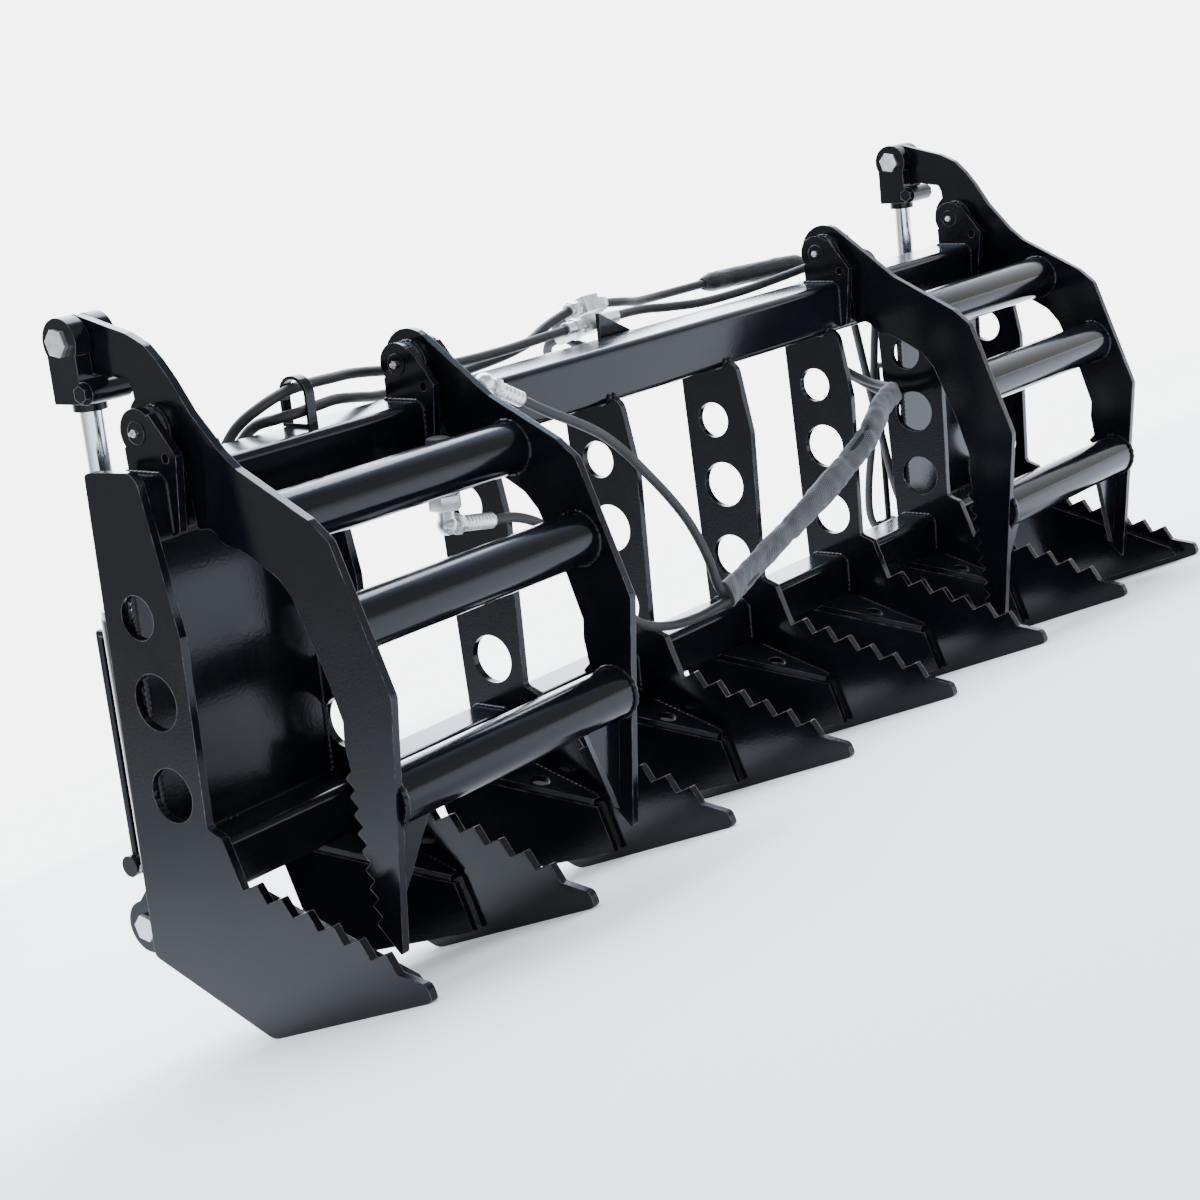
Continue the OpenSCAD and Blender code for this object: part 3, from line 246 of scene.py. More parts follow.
def braided_sleeve():
    """Woven nylon sleeve: grey strands that cross on the skew, soiled in places.

    The strands follow the piece's own map, in metres. Real ones are about 1.5 mm wide: drawn at about 3 mm.
    """
    made, tree, shader, place = finish_named("braided_nylon_sleeve")
    own = add(tree, "UVMap", {}, uv_map="cloth").outputs[0]
    strands = []
    for skew in (0.9, -0.9):
        lie = add(tree, "Mapping", {"Vector": own, "Rotation": (0, 0, skew)}).outputs[0]
        strands.append(add(tree, "TexWave", {"Vector": lie, "Scale": 95.0, "Distortion": 0.6,
            "Detail": 1.0}).outputs["Fac"])
    weave = add(tree, "Math", {0: strands[0], 1: strands[1]}, operation="MAXIMUM").outputs[0]
    clean = add(tree, "ValToRGB", {"Fac": weave}, stops=[(0.25, "#17191a"), (0.95, "#46494b")]).outputs[0]
    dirty = add(tree, "ValToRGB", {"Fac": weave}, stops=[(0.25, "#0f1010"), (0.95, "#2f3132")]).outputs[0]
    # Soil in patches about 55 mm wide
    soil = add(tree, "TexNoise", {"Vector": place, "Scale": 18.0,
        "Detail": 4.0, "Roughness": 0.55}).outputs[0]
    soiled = add(tree, "MapRange", {"Value": soil, "From Min": 0.35, "From Max": 0.7}).outputs[0]
    tone = add(tree, "Mix", {0: soiled, 6: clean, 7: dirty}, data_type="RGBA").outputs[2]
    tree.links.new(tone, shader.inputs["Base Color"])
    rough = add(tree, "MapRange", {"Value": weave, "To Min": 0.85, "To Max": 0.62}).outputs[0]
    tree.links.new(rough, shader.inputs["Roughness"])
    relief = add(tree, "Bump", {"Height": weave, "Strength": 0.7, "Distance": 0.0009}).outputs[0]
    tree.links.new(relief, shader.inputs["Normal"])
    shader.inputs["Sheen Weight"].default_value = 0.35
    return made


def shrink_plastic():
    """Heat-shrunk plastic tube: dull black, with small wrinkles across it, 5 to 17 mm long."""
    made, tree, shader, place = finish_named("heat_shrink_plastic")
    lie = add(tree, "Mapping", {"Vector": place, "Scale": (1.0, 3.5, 3.5)}).outputs[0]
    folds = {"Vector": lie, "Scale": 60.0, "Detail": 3.0, "Roughness": 0.6}
    wrinkles = add(tree, "TexNoise", folds).outputs[0]
    tone = add(tree, "ValToRGB", {"Fac": wrinkles}, stops=[(0.3, "#08080a"), (0.8, "#141416")]).outputs[0]
    tree.links.new(tone, shader.inputs["Base Color"])
    rough = add(tree, "MapRange", {"Value": wrinkles, "To Min": 0.38, "To Max": 0.6}).outputs[0]
    tree.links.new(rough, shader.inputs["Roughness"])
    relief = add(tree, "Bump", {"Height": wrinkles, "Strength": 0.5, "Distance": 0.003}).outputs[0]
    tree.links.new(relief, shader.inputs["Normal"])
    return made


ENAMEL = black_enamel("gloss_black_enamel", dusty=0.35)
WELD = black_enamel("enamel_over_weld", dusty=0.15)
# Passivated zinc: pale and even, with dull marks from handling
ZINC = metal("zinc_plated_steel", ("#bdbfbf", "#e6e7e6"), roughness=0.3, scale=120.0, wear=0.22)
# Lathe-turned steel: darker, with the tool's marks drawn out across it
BRIGHT = metal("turned_steel", ("#8d9093", "#b9bcbf"), roughness=0.24, scale=160.0,
    stretch=(1.0, 1.0, 6.0))
# Ground and plated rods: near to a mirror, with hardly any streaks
CHROME = metal("polished_chrome", ("#c9ced2", "#e4e8ea"), roughness=0.05, scale=300.0,
    stretch=(4.0, 4.0, 1.0), streaks=0.02)
RUBBER = hose_rubber()
SLEEVE = braided_sleeve()
SHRINK = shrink_plastic()


# ---- Routes of the hoses, as in the part's source, in millimetres of its layout

ROUTES = {
    "rod_hose_left": [(819, -44, 630), (760, -42, 628), (690, -40, 626), (600, -40, 627),
        (520, -46, 632), (460, -58, 638), (400, -70, 642), (352, -82, 641), (312, -90, 640),
        (273, -92, 638), (233, -84, 629), (212, -62, 618), (204, -36, 600), (190, 0, 560),
        (172, 50, 495), (154, 100, 425), (142, 145, 355), (138, 185, 295), (134, 208, 250),
        (126, 216, 225), (112, 217, 213), (100, 217, 213)],
    "base_hose_left": [(866, -22, 656), (820, -18, 646), (760, -16, 628), (650, -20, 618),
        (540, -26, 613), (448, -46, 613), (400, -60, 616), (352, -78, 617), (312, -91, 614),
        (273, -95, 611), (250, -84, 612), (238, -62, 614), (232, -36, 604), (224, -6, 580),
        (212, 25, 540), (196, 58, 480), (178, 90, 410), (162, 115, 340), (148, 134, 280),
        (134, 145, 240), (118, 148, 224), (98, 148, 222)],
    "rod_hose_right": [(935, -37, 632), (975, -32, 633), (1014, -29, 632), (1060, -32, 626),
        (1130, -38, 619), (1220, -46, 618), (1305, -52, 621), (1400, -56, 626), (1480, -52, 630),
        (1560, -46, 625), (1600, -30, 608), (1625, 0, 570), (1645, 50, 495), (1668, 100, 425),
        (1684, 145, 355), (1692, 185, 295), (1696, 208, 250), (1704, 216, 225), (1718, 217, 213),
        (1730, 217, 213)],
    "base_hose_right": [(945, -19, 656), (1000, -8, 653), (1060, 14, 652), (1134, 30, 654),
        (1247, 34, 655)],
    "base_hose_right_low": [(1479, 10, 644), (1540, 8, 630), (1575, 20, 595), (1600, 42, 540),
        (1622, 66, 480), (1644, 92, 410), (1664, 115, 340), (1680, 134, 280), (1696, 145, 240),
        (1712, 148, 224), (1732, 148, 222)],
}
SHRINK_ROUTE = [(1247, 34, 655), (1300, 32, 654), (1360, 24, 651), (1420, 16, 648), (1479, 10, 644)]
SLEEVE_ROUTE = [(902, -64, 233), (940, -62, 241), (990, -63, 255), (1045, -68, 271), (1110, -77, 291),
    (1190, -85, 317), (1250, -89, 337), (1305, -92, 357), (1360, -84, 379), (1410, -72, 396),
    (1459, -58, 405), (1500, -42, 408)]
UPPER_FRONT = [(562, -153, 548), (603, -150, 525), (660, -142, 500), (706, -132, 478), (746, -122, 450),
    (782, -112, 418), (812, -106, 384), (838, -100, 348), (858, -92, 312), (870, -85, 281),
    (881, -75, 256), (900, -64, 240.5)]
LOWER_FRONT = [(482, -112, 428), (520, -113, 422), (556, -112, 406), (590, -110, 376), (625, -104, 326),
    (660, -92, 280), (710, -72, 246), (781, -56, 227), (840, -58, 222), (876, -62, 224),
    (903, -64, 226)]
UPPER_BACK = [(1500, -42, 416), (1528, -18, 422), (1536, 16, 440), (1526, 46, 476), (1500, 56, 520),
    (1450, 40, 556), (1390, 8, 574), (1320, -22, 581), (1252, -36, 582), (1228, -36, 582),
    (1160, -24, 582), (1095, 20, 588), (1040, 56, 600), (985, 72, 620), (935, 62, 645), (910, 38, 655),
    (905, 12, 656)]
LOWER_BACK = [(1501, -42, 400), (1540, -20, 404), (1556, 16, 420), (1548, 52, 462), (1526, 78, 500),
    (1466, 66, 532), (1396, 24, 556), (1320, -12, 561), (1252, -28, 562), (1228, -28, 562),
    (1160, -14, 562), (1070, 22, 566), (1000, 56, 576), (940, 68, 592), (893, 58, 616), (874, 36, 629),
    (870, 12, 630)]
# Outer diameter of every hose
HOSE_D = 0.0125


def eased(points, steps=6):
    """Points close together on a smooth line through the given ones."""
    pts = [Vector(p) for p in points]
    line = []
    for i in range(len(pts) - 1):
        before, a, b, after = pts[max(i - 1, 0)], pts[i], pts[i + 1], pts[min(i + 2, len(pts) - 1)]
        reach = (b - a).length
        lead = (b - before).normalized() * reach / 3
        trail = (after - a).normalized() * reach / 3
        for k in range(steps):
            t = k / steps
            line.append(
                a * (1 - t) ** 3
                + (a + lead) * 3 * t * (1 - t) ** 2
                + (b - trail) * 3 * t * t * (1 - t)
                + b * t**3
            )
    line.append(pts[-1])
    return line


def turns(count):
    """Angles evenly round a circle, in radians."""
    return [2 * math.pi * k / count for k in range(count)]


def link(name, data, material, body):
    """A piece with its material, on its body."""
    piece = bpy.data.objects.new(name, data)
    bpy.context.scene.collection.objects.link(piece)
    data.materials.append(material)
    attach(piece, body)
    return piece


def tube_curve(name, lines, radius, roundness=5):
    """Curve with a round section along each line; a line is points, or points with their thickness."""
    data = bpy.data.curves.new(name, "CURVE")
    data.dimensions, data.bevel_depth, data.bevel_resolution = "3D", radius, roundness
    data.use_fill_caps = True
    for line in lines:
        spline = data.splines.new("POLY")
        spline.points.add(len(line) - 1)
        for spot, point in zip(spline.points, line):
            spot.co = (*point[:3], 1)
            spot.radius = point[3] if len(point) > 3 else 1
    return data


def as_mesh(name, curve):
    """Mesh of a curve's tube, with smooth faces."""
    holder = bpy.data.objects.new(name, curve)
    bpy.context.scene.collection.objects.link(holder)
    data = bpy.data.meshes.new_from_object(holder.evaluated_get(bpy.context.evaluated_depsgraph_get()))
    bpy.data.objects.remove(holder)
    data.materials.clear()
    data.name = name
    for face in data.polygons:
        face.use_smooth = True
    return data


def hose(name):
    """A fixed hose along its route."""
    line = eased([at(*p) for p in ROUTES[name]])
    data = as_mesh(name, tube_curve(name, [line], HOSE_D / 2))
    return link(name, data, RUBBER, "root")


def loft(name, rings, material, body):
    """Closed soft tube through rings of points, with its own map in metres: round it and along it."""
    shape = bmesh.new()
    cloth = shape.loops.layers.uv.new("cloth")
    rows = [[shape.verts.new(p) for p in ring] for ring in rings]
    sides = len(rings[0])
    girth = sum((rings[0][k] - rings[0][k - 1]).length for k in range(sides))
    run = 0.0
    for i in range(len(rows) - 1):
        step = (sum(rings[i + 1], Vector()) - sum(rings[i], Vector())).length / sides
        for k in range(sides):
            face = shape.faces.new((rows[i][k], rows[i + 1][k], rows[i + 1][k - 1], rows[i][k - 1]))
            face.smooth = True
            maps = ((k, run), (k, run + step), (k - 1, run + step), (k - 1, run))
            for corner, (round_it, along_it) in zip(face.loops, maps):
                corner[cloth].uv = (round_it * girth / sides, along_it)
        run += step
    shape.faces.new(rows[0])
    shape.faces.new(rows[-1])
    bmesh.ops.recalc_face_normals(shape, faces=shape.faces)
    data = bpy.data.meshes.new(name)
    shape.to_mesh(data)
    shape.free()
    return link(name, data, material, body)


def ring_frames(line):
    """Each point of a line: its share of the way, itself, a level direction across and an upright one."""
    frames = []
    last = len(line) - 1
    for i, point in enumerate(line):
        ahead = (line[min(i + 1, last)] - line[max(i - 1, 0)]).normalized()
        across = ahead.cross(Vector((0, 0, 1))).normalized()
        frames.append((i / last, point, across, across.cross(ahead).normalized()))
    return frames


# ---- The two supply hoses: cords from the tees, through the sleeve, to the couplers

# Each hose lies this far above or below the sleeve's middle, in millimetres
HOSE_LIFT = 7.5


def supply_hose(name, back_route, front_route, lift, node):
    """One supply hose as a cord: behind the part, down inside the sleeve, then on to its coupler."""
    inside = [(x, y, z + lift) for x, y, z in SLEEVE_ROUTE[1:-1]]
    line = eased([at(*p) for p in back_route[::-1] + inside[::-1] + front_route[::-1]])
    piece = link(name, tube_curve(name, [line], HOSE_D / 2), RUBBER, "root")
    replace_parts(piece, node)


# Creases of the woven sleeve: where along it, as a share from its low end, and how deep
CREASES = ((0.07, 0.5), (0.31, 1.0), (0.36, 0.6), (0.53, 1.0), (0.66, 0.9), (0.80, 0.7), (0.93, 0.6))
CREASE_REACH = 0.011
# Half width and half thickness of the sleeve, how much each drifts and is pinched, and the low end's flare
SLEEVE_WIDE, WIDE_DRIFT, WIDE_PINCH = 0.0172, 0.0010, 0.0018
SLEEVE_THICK, THICK_DRIFT, THICK_PINCH = 0.0098, 0.0008, 0.0013
FLARE, FLARE_SHARE = 0.0022, 0.14
# Folds that wind round the sleeve: ridges, finer ridges, small ripples, and the room that these take up
RIDGE, FINE_RIDGE, RIPPLE, FOLD_ROOM = 0.0014, 0.0009, 0.0015, 0.0011
# The numbers beside share in sleeve() are waves along the whole of it, in radians
# Most that the sleeve twists to either side, in radians, and how finely its mesh is drawn
TWIST, SLEEVE_SIDES, SLEEVE_STEPS = 0.34, 40, 14


def sleeve():
    """Woven sleeve wrapped round both supply hoses: flattened, twisted a little, creased where it bends."""
    rings = []
    for share, middle, across, upright in ring_frames(eased([at(*p) for p in SLEEVE_ROUTE], SLEEVE_STEPS)):
        pinch = sum(depth * math.exp(-(((share - spot) / CREASE_REACH) ** 2)) for spot, depth in CREASES)
        flare = max(0, FLARE_SHARE - share) / FLARE_SHARE
        wide = SLEEVE_WIDE + WIDE_DRIFT * math.sin(share * 19) + FLARE * flare - WIDE_PINCH * pinch
        thick = SLEEVE_THICK + THICK_DRIFT * math.sin(share * 27 + 1) - THICK_PINCH * pinch
        lean = TWIST * math.sin(share * 6.4 + 0.5)
        ring = []
        for turn in turns(SLEEVE_SIDES):
            ridge = RIDGE * abs(math.sin(turn + share * 9))
            fine = FINE_RIDGE * abs(math.sin(2 * turn - share * 31))
            ripple = RIPPLE * noise.noise(Vector((share * 46, math.cos(turn) * 1.4, math.sin(turn) * 1.4)))
            grow = ridge + fine + ripple - FOLD_ROOM
            a, b = math.cos(turn) * (wide + grow), math.sin(turn) * (thick + grow)
            ring.append(
                middle
                + upright * (a * math.cos(lean) - b * math.sin(lean))
                + across * (a * math.sin(lean) + b * math.cos(lean))
            )
        rings.append(ring)
    return loft("woven_sleeve_wrap", rings, SLEEVE, "root")


# ---- The clamp hoses

for name in ("rod_hose_left", "base_hose_left"):
    piece = hose(name)
    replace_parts(piece, "left_clamp_hoses")
for name in ("rod_hose_right", "base_hose_right", "base_hose_right_low"):
    piece = hose(name)
    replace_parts(piece, "right_clamp_hoses")

# Radius of the shrunk tube along its middle and at its mouths, and the share of its length that tapers
SHRINK_R, SHRINK_MOUTH_R, SHRINK_TAPER = 0.0148, 0.0085, 0.12
# Depth of its wrinkles, room for them inside the radius, and how finely its mesh is drawn
WRINKLE, WRINKLE_ROOM, SHRINK_SIDES, SHRINK_STEPS = 0.0007, 0.0005, 24, 8


def shrink_tube():
    """Shrunk tube over the hose joint, with tapered ends and shallow wrinkles."""
    rings = []
    for share, middle, across, upright in ring_frames(eased([at(*p) for p in SHRINK_ROUTE], SHRINK_STEPS)):
        end = min(share, 1 - share) / SHRINK_TAPER
        rise = math.sin(end * math.pi / 2) if end < 1 else 1
        radius = SHRINK_MOUTH_R + (SHRINK_R - SHRINK_MOUTH_R) * rise
        ring = []
        for turn in turns(SHRINK_SIDES):
            up, out = math.cos(turn), math.sin(turn)
            wrinkle = WRINKLE * noise.noise(Vector((share * 22, up * 1.5, out * 1.5)))
            reach = radius - WRINKLE_ROOM + wrinkle
            ring.append(middle + upright * up * reach + across * out * reach)
        rings.append(ring)
    return loft("shrink_sleeve_tube", rings, SHRINK, "root")


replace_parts(shrink_tube(), "shrink_sleeve")


# ---- Turned and hexagonal fittings


def upright_to(start, end):
    """Places a shape that stands on its own z axis between two points."""
    return Matrix.Translation(start) @ (end - start).to_track_quat("Z", "Y").to_matrix().to_4x4()


def put(shape, part, place):
    """Adds a finished part to a shape, at its place, and drops the part."""
    bmesh.ops.transform(part, matrix=place, verts=part.verts)
    bmesh.ops.recalc_face_normals(part, faces=part.faces)
    carrier = bpy.data.meshes.new("carrier")
    part.to_mesh(carrier)
    part.free()
    shape.from_mesh(carrier)
    bpy.data.meshes.remove(carrier)


def turned(shape, profile, place, sides=36):
    """Adds a turned form to a shape: a profile of radius and height, spun about the axis."""
    part = bmesh.new()
    spots = [part.verts.new((r, 0, z)) for r, z in profile]
    edges = [part.edges.new(pair) for pair in zip(spots, spots[1:])]
    bmesh.ops.spin(part, geom=spots + edges, axis=(0, 0, 1), cent=(0, 0, 0), dvec=(0, 0, 0),
        angle=2 * math.pi, steps=sides, use_merge=True)
    bmesh.ops.remove_doubles(part, verts=part.verts, dist=1e-6)
    put(shape, part, place)


def disc(shape, radius, low, high, place, sides=36):
    """Adds a plain round spigot between two heights to a shape."""
    turned(shape, [(0, low), (radius, low), (radius, high), (0, high)], place, sides)


def ball(shape, radius, middle):
    """Adds the round corner of an elbow to a shape."""
    part = bmesh.new()
    bmesh.ops.create_uvsphere(part, u_segments=28, v_segments=16, radius=radius)
    put(shape, part, Matrix.Translation(middle))


# Chamfer of a nut's rims, as a share of its width across the flats
CHAMFER = 0.045


def hexagon(shape, flats, low, high, place):
    """Adds a hexagonal nut with chamfered corners to a shape."""
    part = bmesh.new()
    corner = flats / math.sqrt(3)
    bmesh.ops.create_cone(part, cap_ends=True, segments=6, radius1=corner, radius2=corner, depth=high - low,
        matrix=Matrix.Translation((0, 0, (low + high) / 2)))
    rims = [e for e in part.edges if abs(e.verts[0].co.z - e.verts[1].co.z) < 1e-9]
    bmesh.ops.bevel(part, geom=rims, offset=flats * CHAMFER, offset_type="OFFSET", segments=2,
        profile=0.5, affect="EDGES", material=-1, clamp_overlap=True)
    put(shape, part, place)


def piece_of(name, shape, material, body, sharp_over=0.6):
    """A piece from a bmesh, its normals outwards, smooth except at edges over an angle in radians."""
    bmesh.ops.recalc_face_normals(shape, faces=shape.faces)
    for face in shape.faces:
        face.smooth = True
    for edge in shape.edges:
        if len(edge.link_faces) == 2 and edge.calc_face_angle(0) > sharp_over:
            edge.smooth = False
    data = bpy.data.meshes.new(name)
    shape.to_mesh(data)
    shape.free()
    return link(name, data, material, body)


# Radii of a crimped ferrule: its plain end, its rolled lip and the lip's edge
FERRULE_R, LIP_R, MOUTH_R = 0.0088, 0.0096, 0.0090
# Its ribs: about how far apart, and the radius at shares of the way along one
RIB_STEP, RIB = 0.006, ((0.25, 0.0095), (0.7, 0.0095), (0.92, 0.0087))
LIP_W = 0.001


def ferrule(shape, start, end):
    """Crimped ferrule between two points: pressed ribs and a rolled lip at the hose's end."""
    bore = HOSE_D / 2
    long = (end - start).length
    profile = [(bore, 0), (FERRULE_R, 0)]
    ribs = max(3, int(long / RIB_STEP))
    for i in range(ribs):
        profile += [(radius, long * (i + share) / ribs) for share, radius in RIB]
    profile += [(LIP_R, long - LIP_W), (MOUTH_R, long), (bore, long)]
    turned(shape, profile, upright_to(start, end), sides=28)


# The two tees: the middle of each, and the first points of its three hoses, the last one behind it
TEES = {
    "tee_low": ((870, -44, 630),
        (ROUTES["rod_hose_left"][0], ROUTES["rod_hose_right"][0], LOWER_BACK[-1])),
    "tee_high": ((905, -22, 658),
        (ROUTES["base_hose_left"][0], ROUTES["base_hose_right"][0], UPPER_BACK[-1])),
}
# How far the stems reach from the middle, to the left, to the right and backwards, and their swivel nuts
STEMS, STEM_R, STEM_IN = (0.024, 0.024, 0.022), 0.0112, 0.003
SWIVEL_FLATS, SWIVEL_LONG = 0.0215, 0.0104
# Small laps between nut, ferrule and hose, and the least room that takes a ferrule
NUT_LAP, FERRULE_LAP, HOSE_LAP, LEAST_ROOM = 0.0002, 0.0001, 0.0005, 0.0026


def swivels(name, middle, ends):
    """Swivel nuts and ferrules on a tee's three stems; a stem close to its hose's end has no ferrule."""
    shape = bmesh.new()
    start = at(*middle)
    for end, stem in zip(ends, STEMS):
        tip = at(*end)
        way, place = (tip - start).normalized(), upright_to(start, tip)
        nut_end = stem + SWIVEL_LONG
        hexagon(shape, SWIVEL_FLATS, stem - NUT_LAP, nut_end, place)
        disc(shape, STEM_R, stem - STEM_IN, stem, place, sides=28)
        if (tip - start).length > nut_end + LEAST_ROOM:
            ferrule(shape, start + way * (nut_end - FERRULE_LAP), tip + way * HOSE_LAP)
    piece_of(name + "_swivels", shape, ZINC, "root")


for name, (middle, ends) in TEES.items():
    swivels(name, middle, ends)


def coupler_axis(tube_place, up_sign):
    """Bend of a coupler's elbow, and the direction of the coupler in the top tube's lean."""
    x, u, v = tube_place
    bend = on_tube(TOP_TUBE, u, v)
    along = on_tube(TOP_TUBE, u, v + up_sign) - bend
    return at(x, *bend), Vector((0, along.x, along.y))


# Radii of a coupler: its elbow and spigots, its body, the collar on it, the knurls' feet and the mouth
ELBOW_R, SPIGOT_R = 0.0121, 0.0095
BODY_R, COLLAR_R, KNURL_R, MOUTH_EDGE_R = 0.0125, 0.0139, 0.0133, 0.0132
# Along its axis from the elbow's bend: where the body and its knurls begin, and how far apart these are
BODY_AT, KNURLS_AT, KNURLS, KNURL_STEP = 0.036, 0.0375, 9, 0.0022
# Nuts, as width across the flats and their two ends from the bend: on the body's side and on the hose
BODY_NUT, HOSE_NUT = (0.0339, 0.018, BODY_AT), (0.0225, 0.010, 0.021)


def coupler(name, tube_place, up_sign, hose_end):
    """Elbow with its swivel nut, coupler body with a knurled sleeve, and the crimped hose end."""
    middle, axis = coupler_axis(tube_place, up_sign)
    tip = at(*hose_end)
    out = (tip - middle).normalized()
    body_place, hose_place = upright_to(middle, middle + axis), upright_to(middle, middle + out)
    shape = bmesh.new()
    ball(shape, ELBOW_R, middle)
    disc(shape, SPIGOT_R, 0, BODY_NUT[1], body_place)
    hexagon(shape, *BODY_NUT, body_place)
    body = [(0, BODY_AT), (BODY_R, BODY_AT), (COLLAR_R, KNURLS_AT)]
    for i in range(KNURLS):
        low = KNURLS_AT + KNURL_STEP * i
        body += [(COLLAR_R, low), (KNURL_R, low + KNURL_STEP / 2)]
    # The plain collar, a groove, the second collar and the chamfered mouth
    body += [(COLLAR_R, 0.059), (COLLAR_R, 0.068), (BODY_R, 0.0695), (BODY_R, 0.0735), (COLLAR_R, 0.075),
        (COLLAR_R, 0.086), (MOUTH_EDGE_R, 0.0878), (0, 0.0878)]
    turned(shape, body, body_place, sides=48)
    disc(shape, SPIGOT_R, 0, 0.011, hose_place)
    hexagon(shape, *HOSE_NUT, hose_place)
    ferrule(shape, middle + out * HOSE_NUT[2], tip)
    piece = piece_of(name, shape, ZINC, "root")
    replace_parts(piece, "couplers")
    return piece


# Profile of a dust cap, as radius and distance from the elbow's bend: a rolled lip, a wall and a domed top
CAP = [(0, 0.0882), (0.0148, 0.0882), (0.0154, 0.0890), (0.0154, 0.0915), (0.0146, 0.0925),
    (0.0144, 0.0985), (0.0132, 0.1008), (0.0100, 0.1018), (0, 0.1019)]


def dust_cap(name, tube_place, up_sign):
    """Rubber cap over the coupler's end."""
    middle, axis = coupler_axis(tube_place, up_sign)
    shape = bmesh.new()
    turned(shape, CAP, upright_to(middle, middle + axis), sides=40)
    piece = piece_of(name, shape, RUBBER, "root")
    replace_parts(piece, "dust_caps")
    return piece


upper_coupler = coupler("upper_coupler_body", UPPER_COUPLER, -1, UPPER_FRONT[0])
lower_coupler = coupler("lower_coupler_body", LOWER_COUPLER, 1, LOWER_FRONT[0])
upper_cap = dust_cap("upper_dust_cap", UPPER_COUPLER, -1)
lower_cap = dust_cap("lower_dust_cap", LOWER_COUPLER, 1)
sleeve_wrap = sleeve()
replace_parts(sleeve_wrap, "woven_sleeve")
supply_hose("supply_hose_line_upper", UPPER_BACK, UPPER_FRONT, HOSE_LIFT,
    "supply_hose_upper")
supply_hose("supply_hose_line_lower", LOWER_BACK, LOWER_FRONT, -HOSE_LIFT,
    "supply_hose_lower")


# ---- Weld beads

# A bead's ripples: their step, their sizes in turn, how much these drift, and the size at either end
BEAD_STEP, BEAD_SIZES, BEAD_DRIFT, BEAD_END = 0.0022, (0.82, 1.0, 1.12), 0.12, 0.6


def beads(name, runs, radius, body):
    """Weld beads along runs of points: small overlapping ripples, sunk half into the corner."""
    lines = []
    for run in runs:
        line = []
        for a, b in zip(run, run[1:]):
            count = max(2, int((b - a).length / BEAD_STEP))
            line += [a.lerp(b, k / count) for k in range(count)]
        line.append(run[-1])
        size = []
        for i, point in enumerate(line):
            ripple = BEAD_SIZES[i % 3] + BEAD_DRIFT * noise.noise(point * 60)
            size.append((*point, ripple * (BEAD_END if i in (0, len(line) - 1) else 1)))
        lines.append(size)
    data = as_mesh(name, tube_curve(name, lines, radius, roundness=1))
    link(name, data, WELD, body)


def run_at(x, points):
    """A run of side-profile points, at one place across the part."""
    return [at(x, *p) for p in points]


# Cut off each corner of a square tube's section, in millimetres
CORNER_CUT = 7


def tube_corners(centre, w):
    """Outline of a leaning square tube's section, its corners cut, as a closed run."""
    h, c = w / 2, w / 2 - CORNER_CUT
    corners = [(h, -c), (h, c), (c, h), (-c, h), (-h, c), (-h, -c), (-c, -h), (c, -h), (h, -c)]
    return [on_tube(centre, u, v) for u, v in corners]


def ring_run(x, centre, radius, steps=36):
    """A closed run round a pivot or a cross tube, radius in millimetres."""
    middle = side(centre)
    round_it = turns(steps) + [2 * math.pi]
    return run_at(x, [(middle.x + radius * math.cos(t), middle.y + radius * math.sin(t)) for t in round_it])


# Both faces of every tine, but for the outsides of the end tines
tine_faces = []
for i in range(TINES):
    if i > 0:
        tine_faces.append(i * TINE_PITCH)
    if i < TINES - 1:
        tine_faces.append(i * TINE_PITCH + PLATE)
# The inner tines hold the top tube in a seat that is open above
SEAT = ((-35, -22), (-35, -28), (-28, -35), (28, -35), (35, -28), (35, -22))
seat = [on_tube(TOP_TUBE, u, v) for u, v in SEAT]
tine_runs = [run_at(x, tube_corners(BOTTOM_TUBE, BOTTOM_W)) for x in tine_faces]
tine_runs += [run_at(x, seat) for x in tine_faces[1:-1]]
tine_runs += [run_at(x, tube_corners(TOP_TUBE, TOP_W)) for x in (PLATE, TOTAL_W - PLATE)]
beads("tine_weld_beads", tine_runs, radius=0.0036, body="root")

# Braces along the inner tines, and the side sheets round their four edges
BRACE_LINE = ((-0.29, 0.1285), (0.075, 0.2405))
brace_runs = []
for x in tine_faces[1:-1]:
    brace_runs.append(run_at(x, [side(share) for share in BRACE_LINE]))
lean = Matrix.Rotation(-TILT, 2)
low_u, high_u = ((lean @ side(SHEET_FOOT)).x - (lean @ side(tube)).x for tube in (BOTTOM_TUBE, TOP_TUBE))
low, high = on_tube(BOTTOM_TUBE, low_u, BOTTOM_W / 2), on_tube(TOP_TUBE, high_u, -TOP_W / 2)
for sheet in ((PLATE, TINE_PITCH), (TOTAL_W - TINE_PITCH, TOTAL_W - PLATE)):
    for spot in (low, high):
        brace_runs.append([at(x, *spot) for x in sheet])
    for x in sheet:
        brace_runs.append(run_at(x, (low, high)))
beads("brace_weld_beads", brace_runs, radius=0.0034, body="root")

# Ears on the top tube and lugs on the bottom tube, along both faces of each
EAR_LINE = ((24, 35), (-28, 35), (-35, 28), (-35, -26))
LUG_LINE = ((14, 30), (23, 30), (30, 23), (30, -23), (23, -30), (16, -30))
EAR_FACES, LUG_FACES = (-28.5, -18.5, 18.5, 28.5), (-36, -26, 26, 36)
ear_line = [on_tube(TOP_TUBE, u, v) for u, v in EAR_LINE]
lug_line = [on_tube(BOTTOM_TUBE, u, v) for u, v in LUG_LINE]
ear_runs = []
for mirror in (False, True):
    for x in (OUTER_X, INNER_X):
        ear_runs += [run_at(on_side(x + face, mirror), ear_line) for face in EAR_FACES]
    ear_runs += [run_at(on_side(OUTER_X + face, mirror), lug_line) for face in LUG_FACES]
beads("ear_weld_beads", ear_runs, radius=0.0032, body="root")

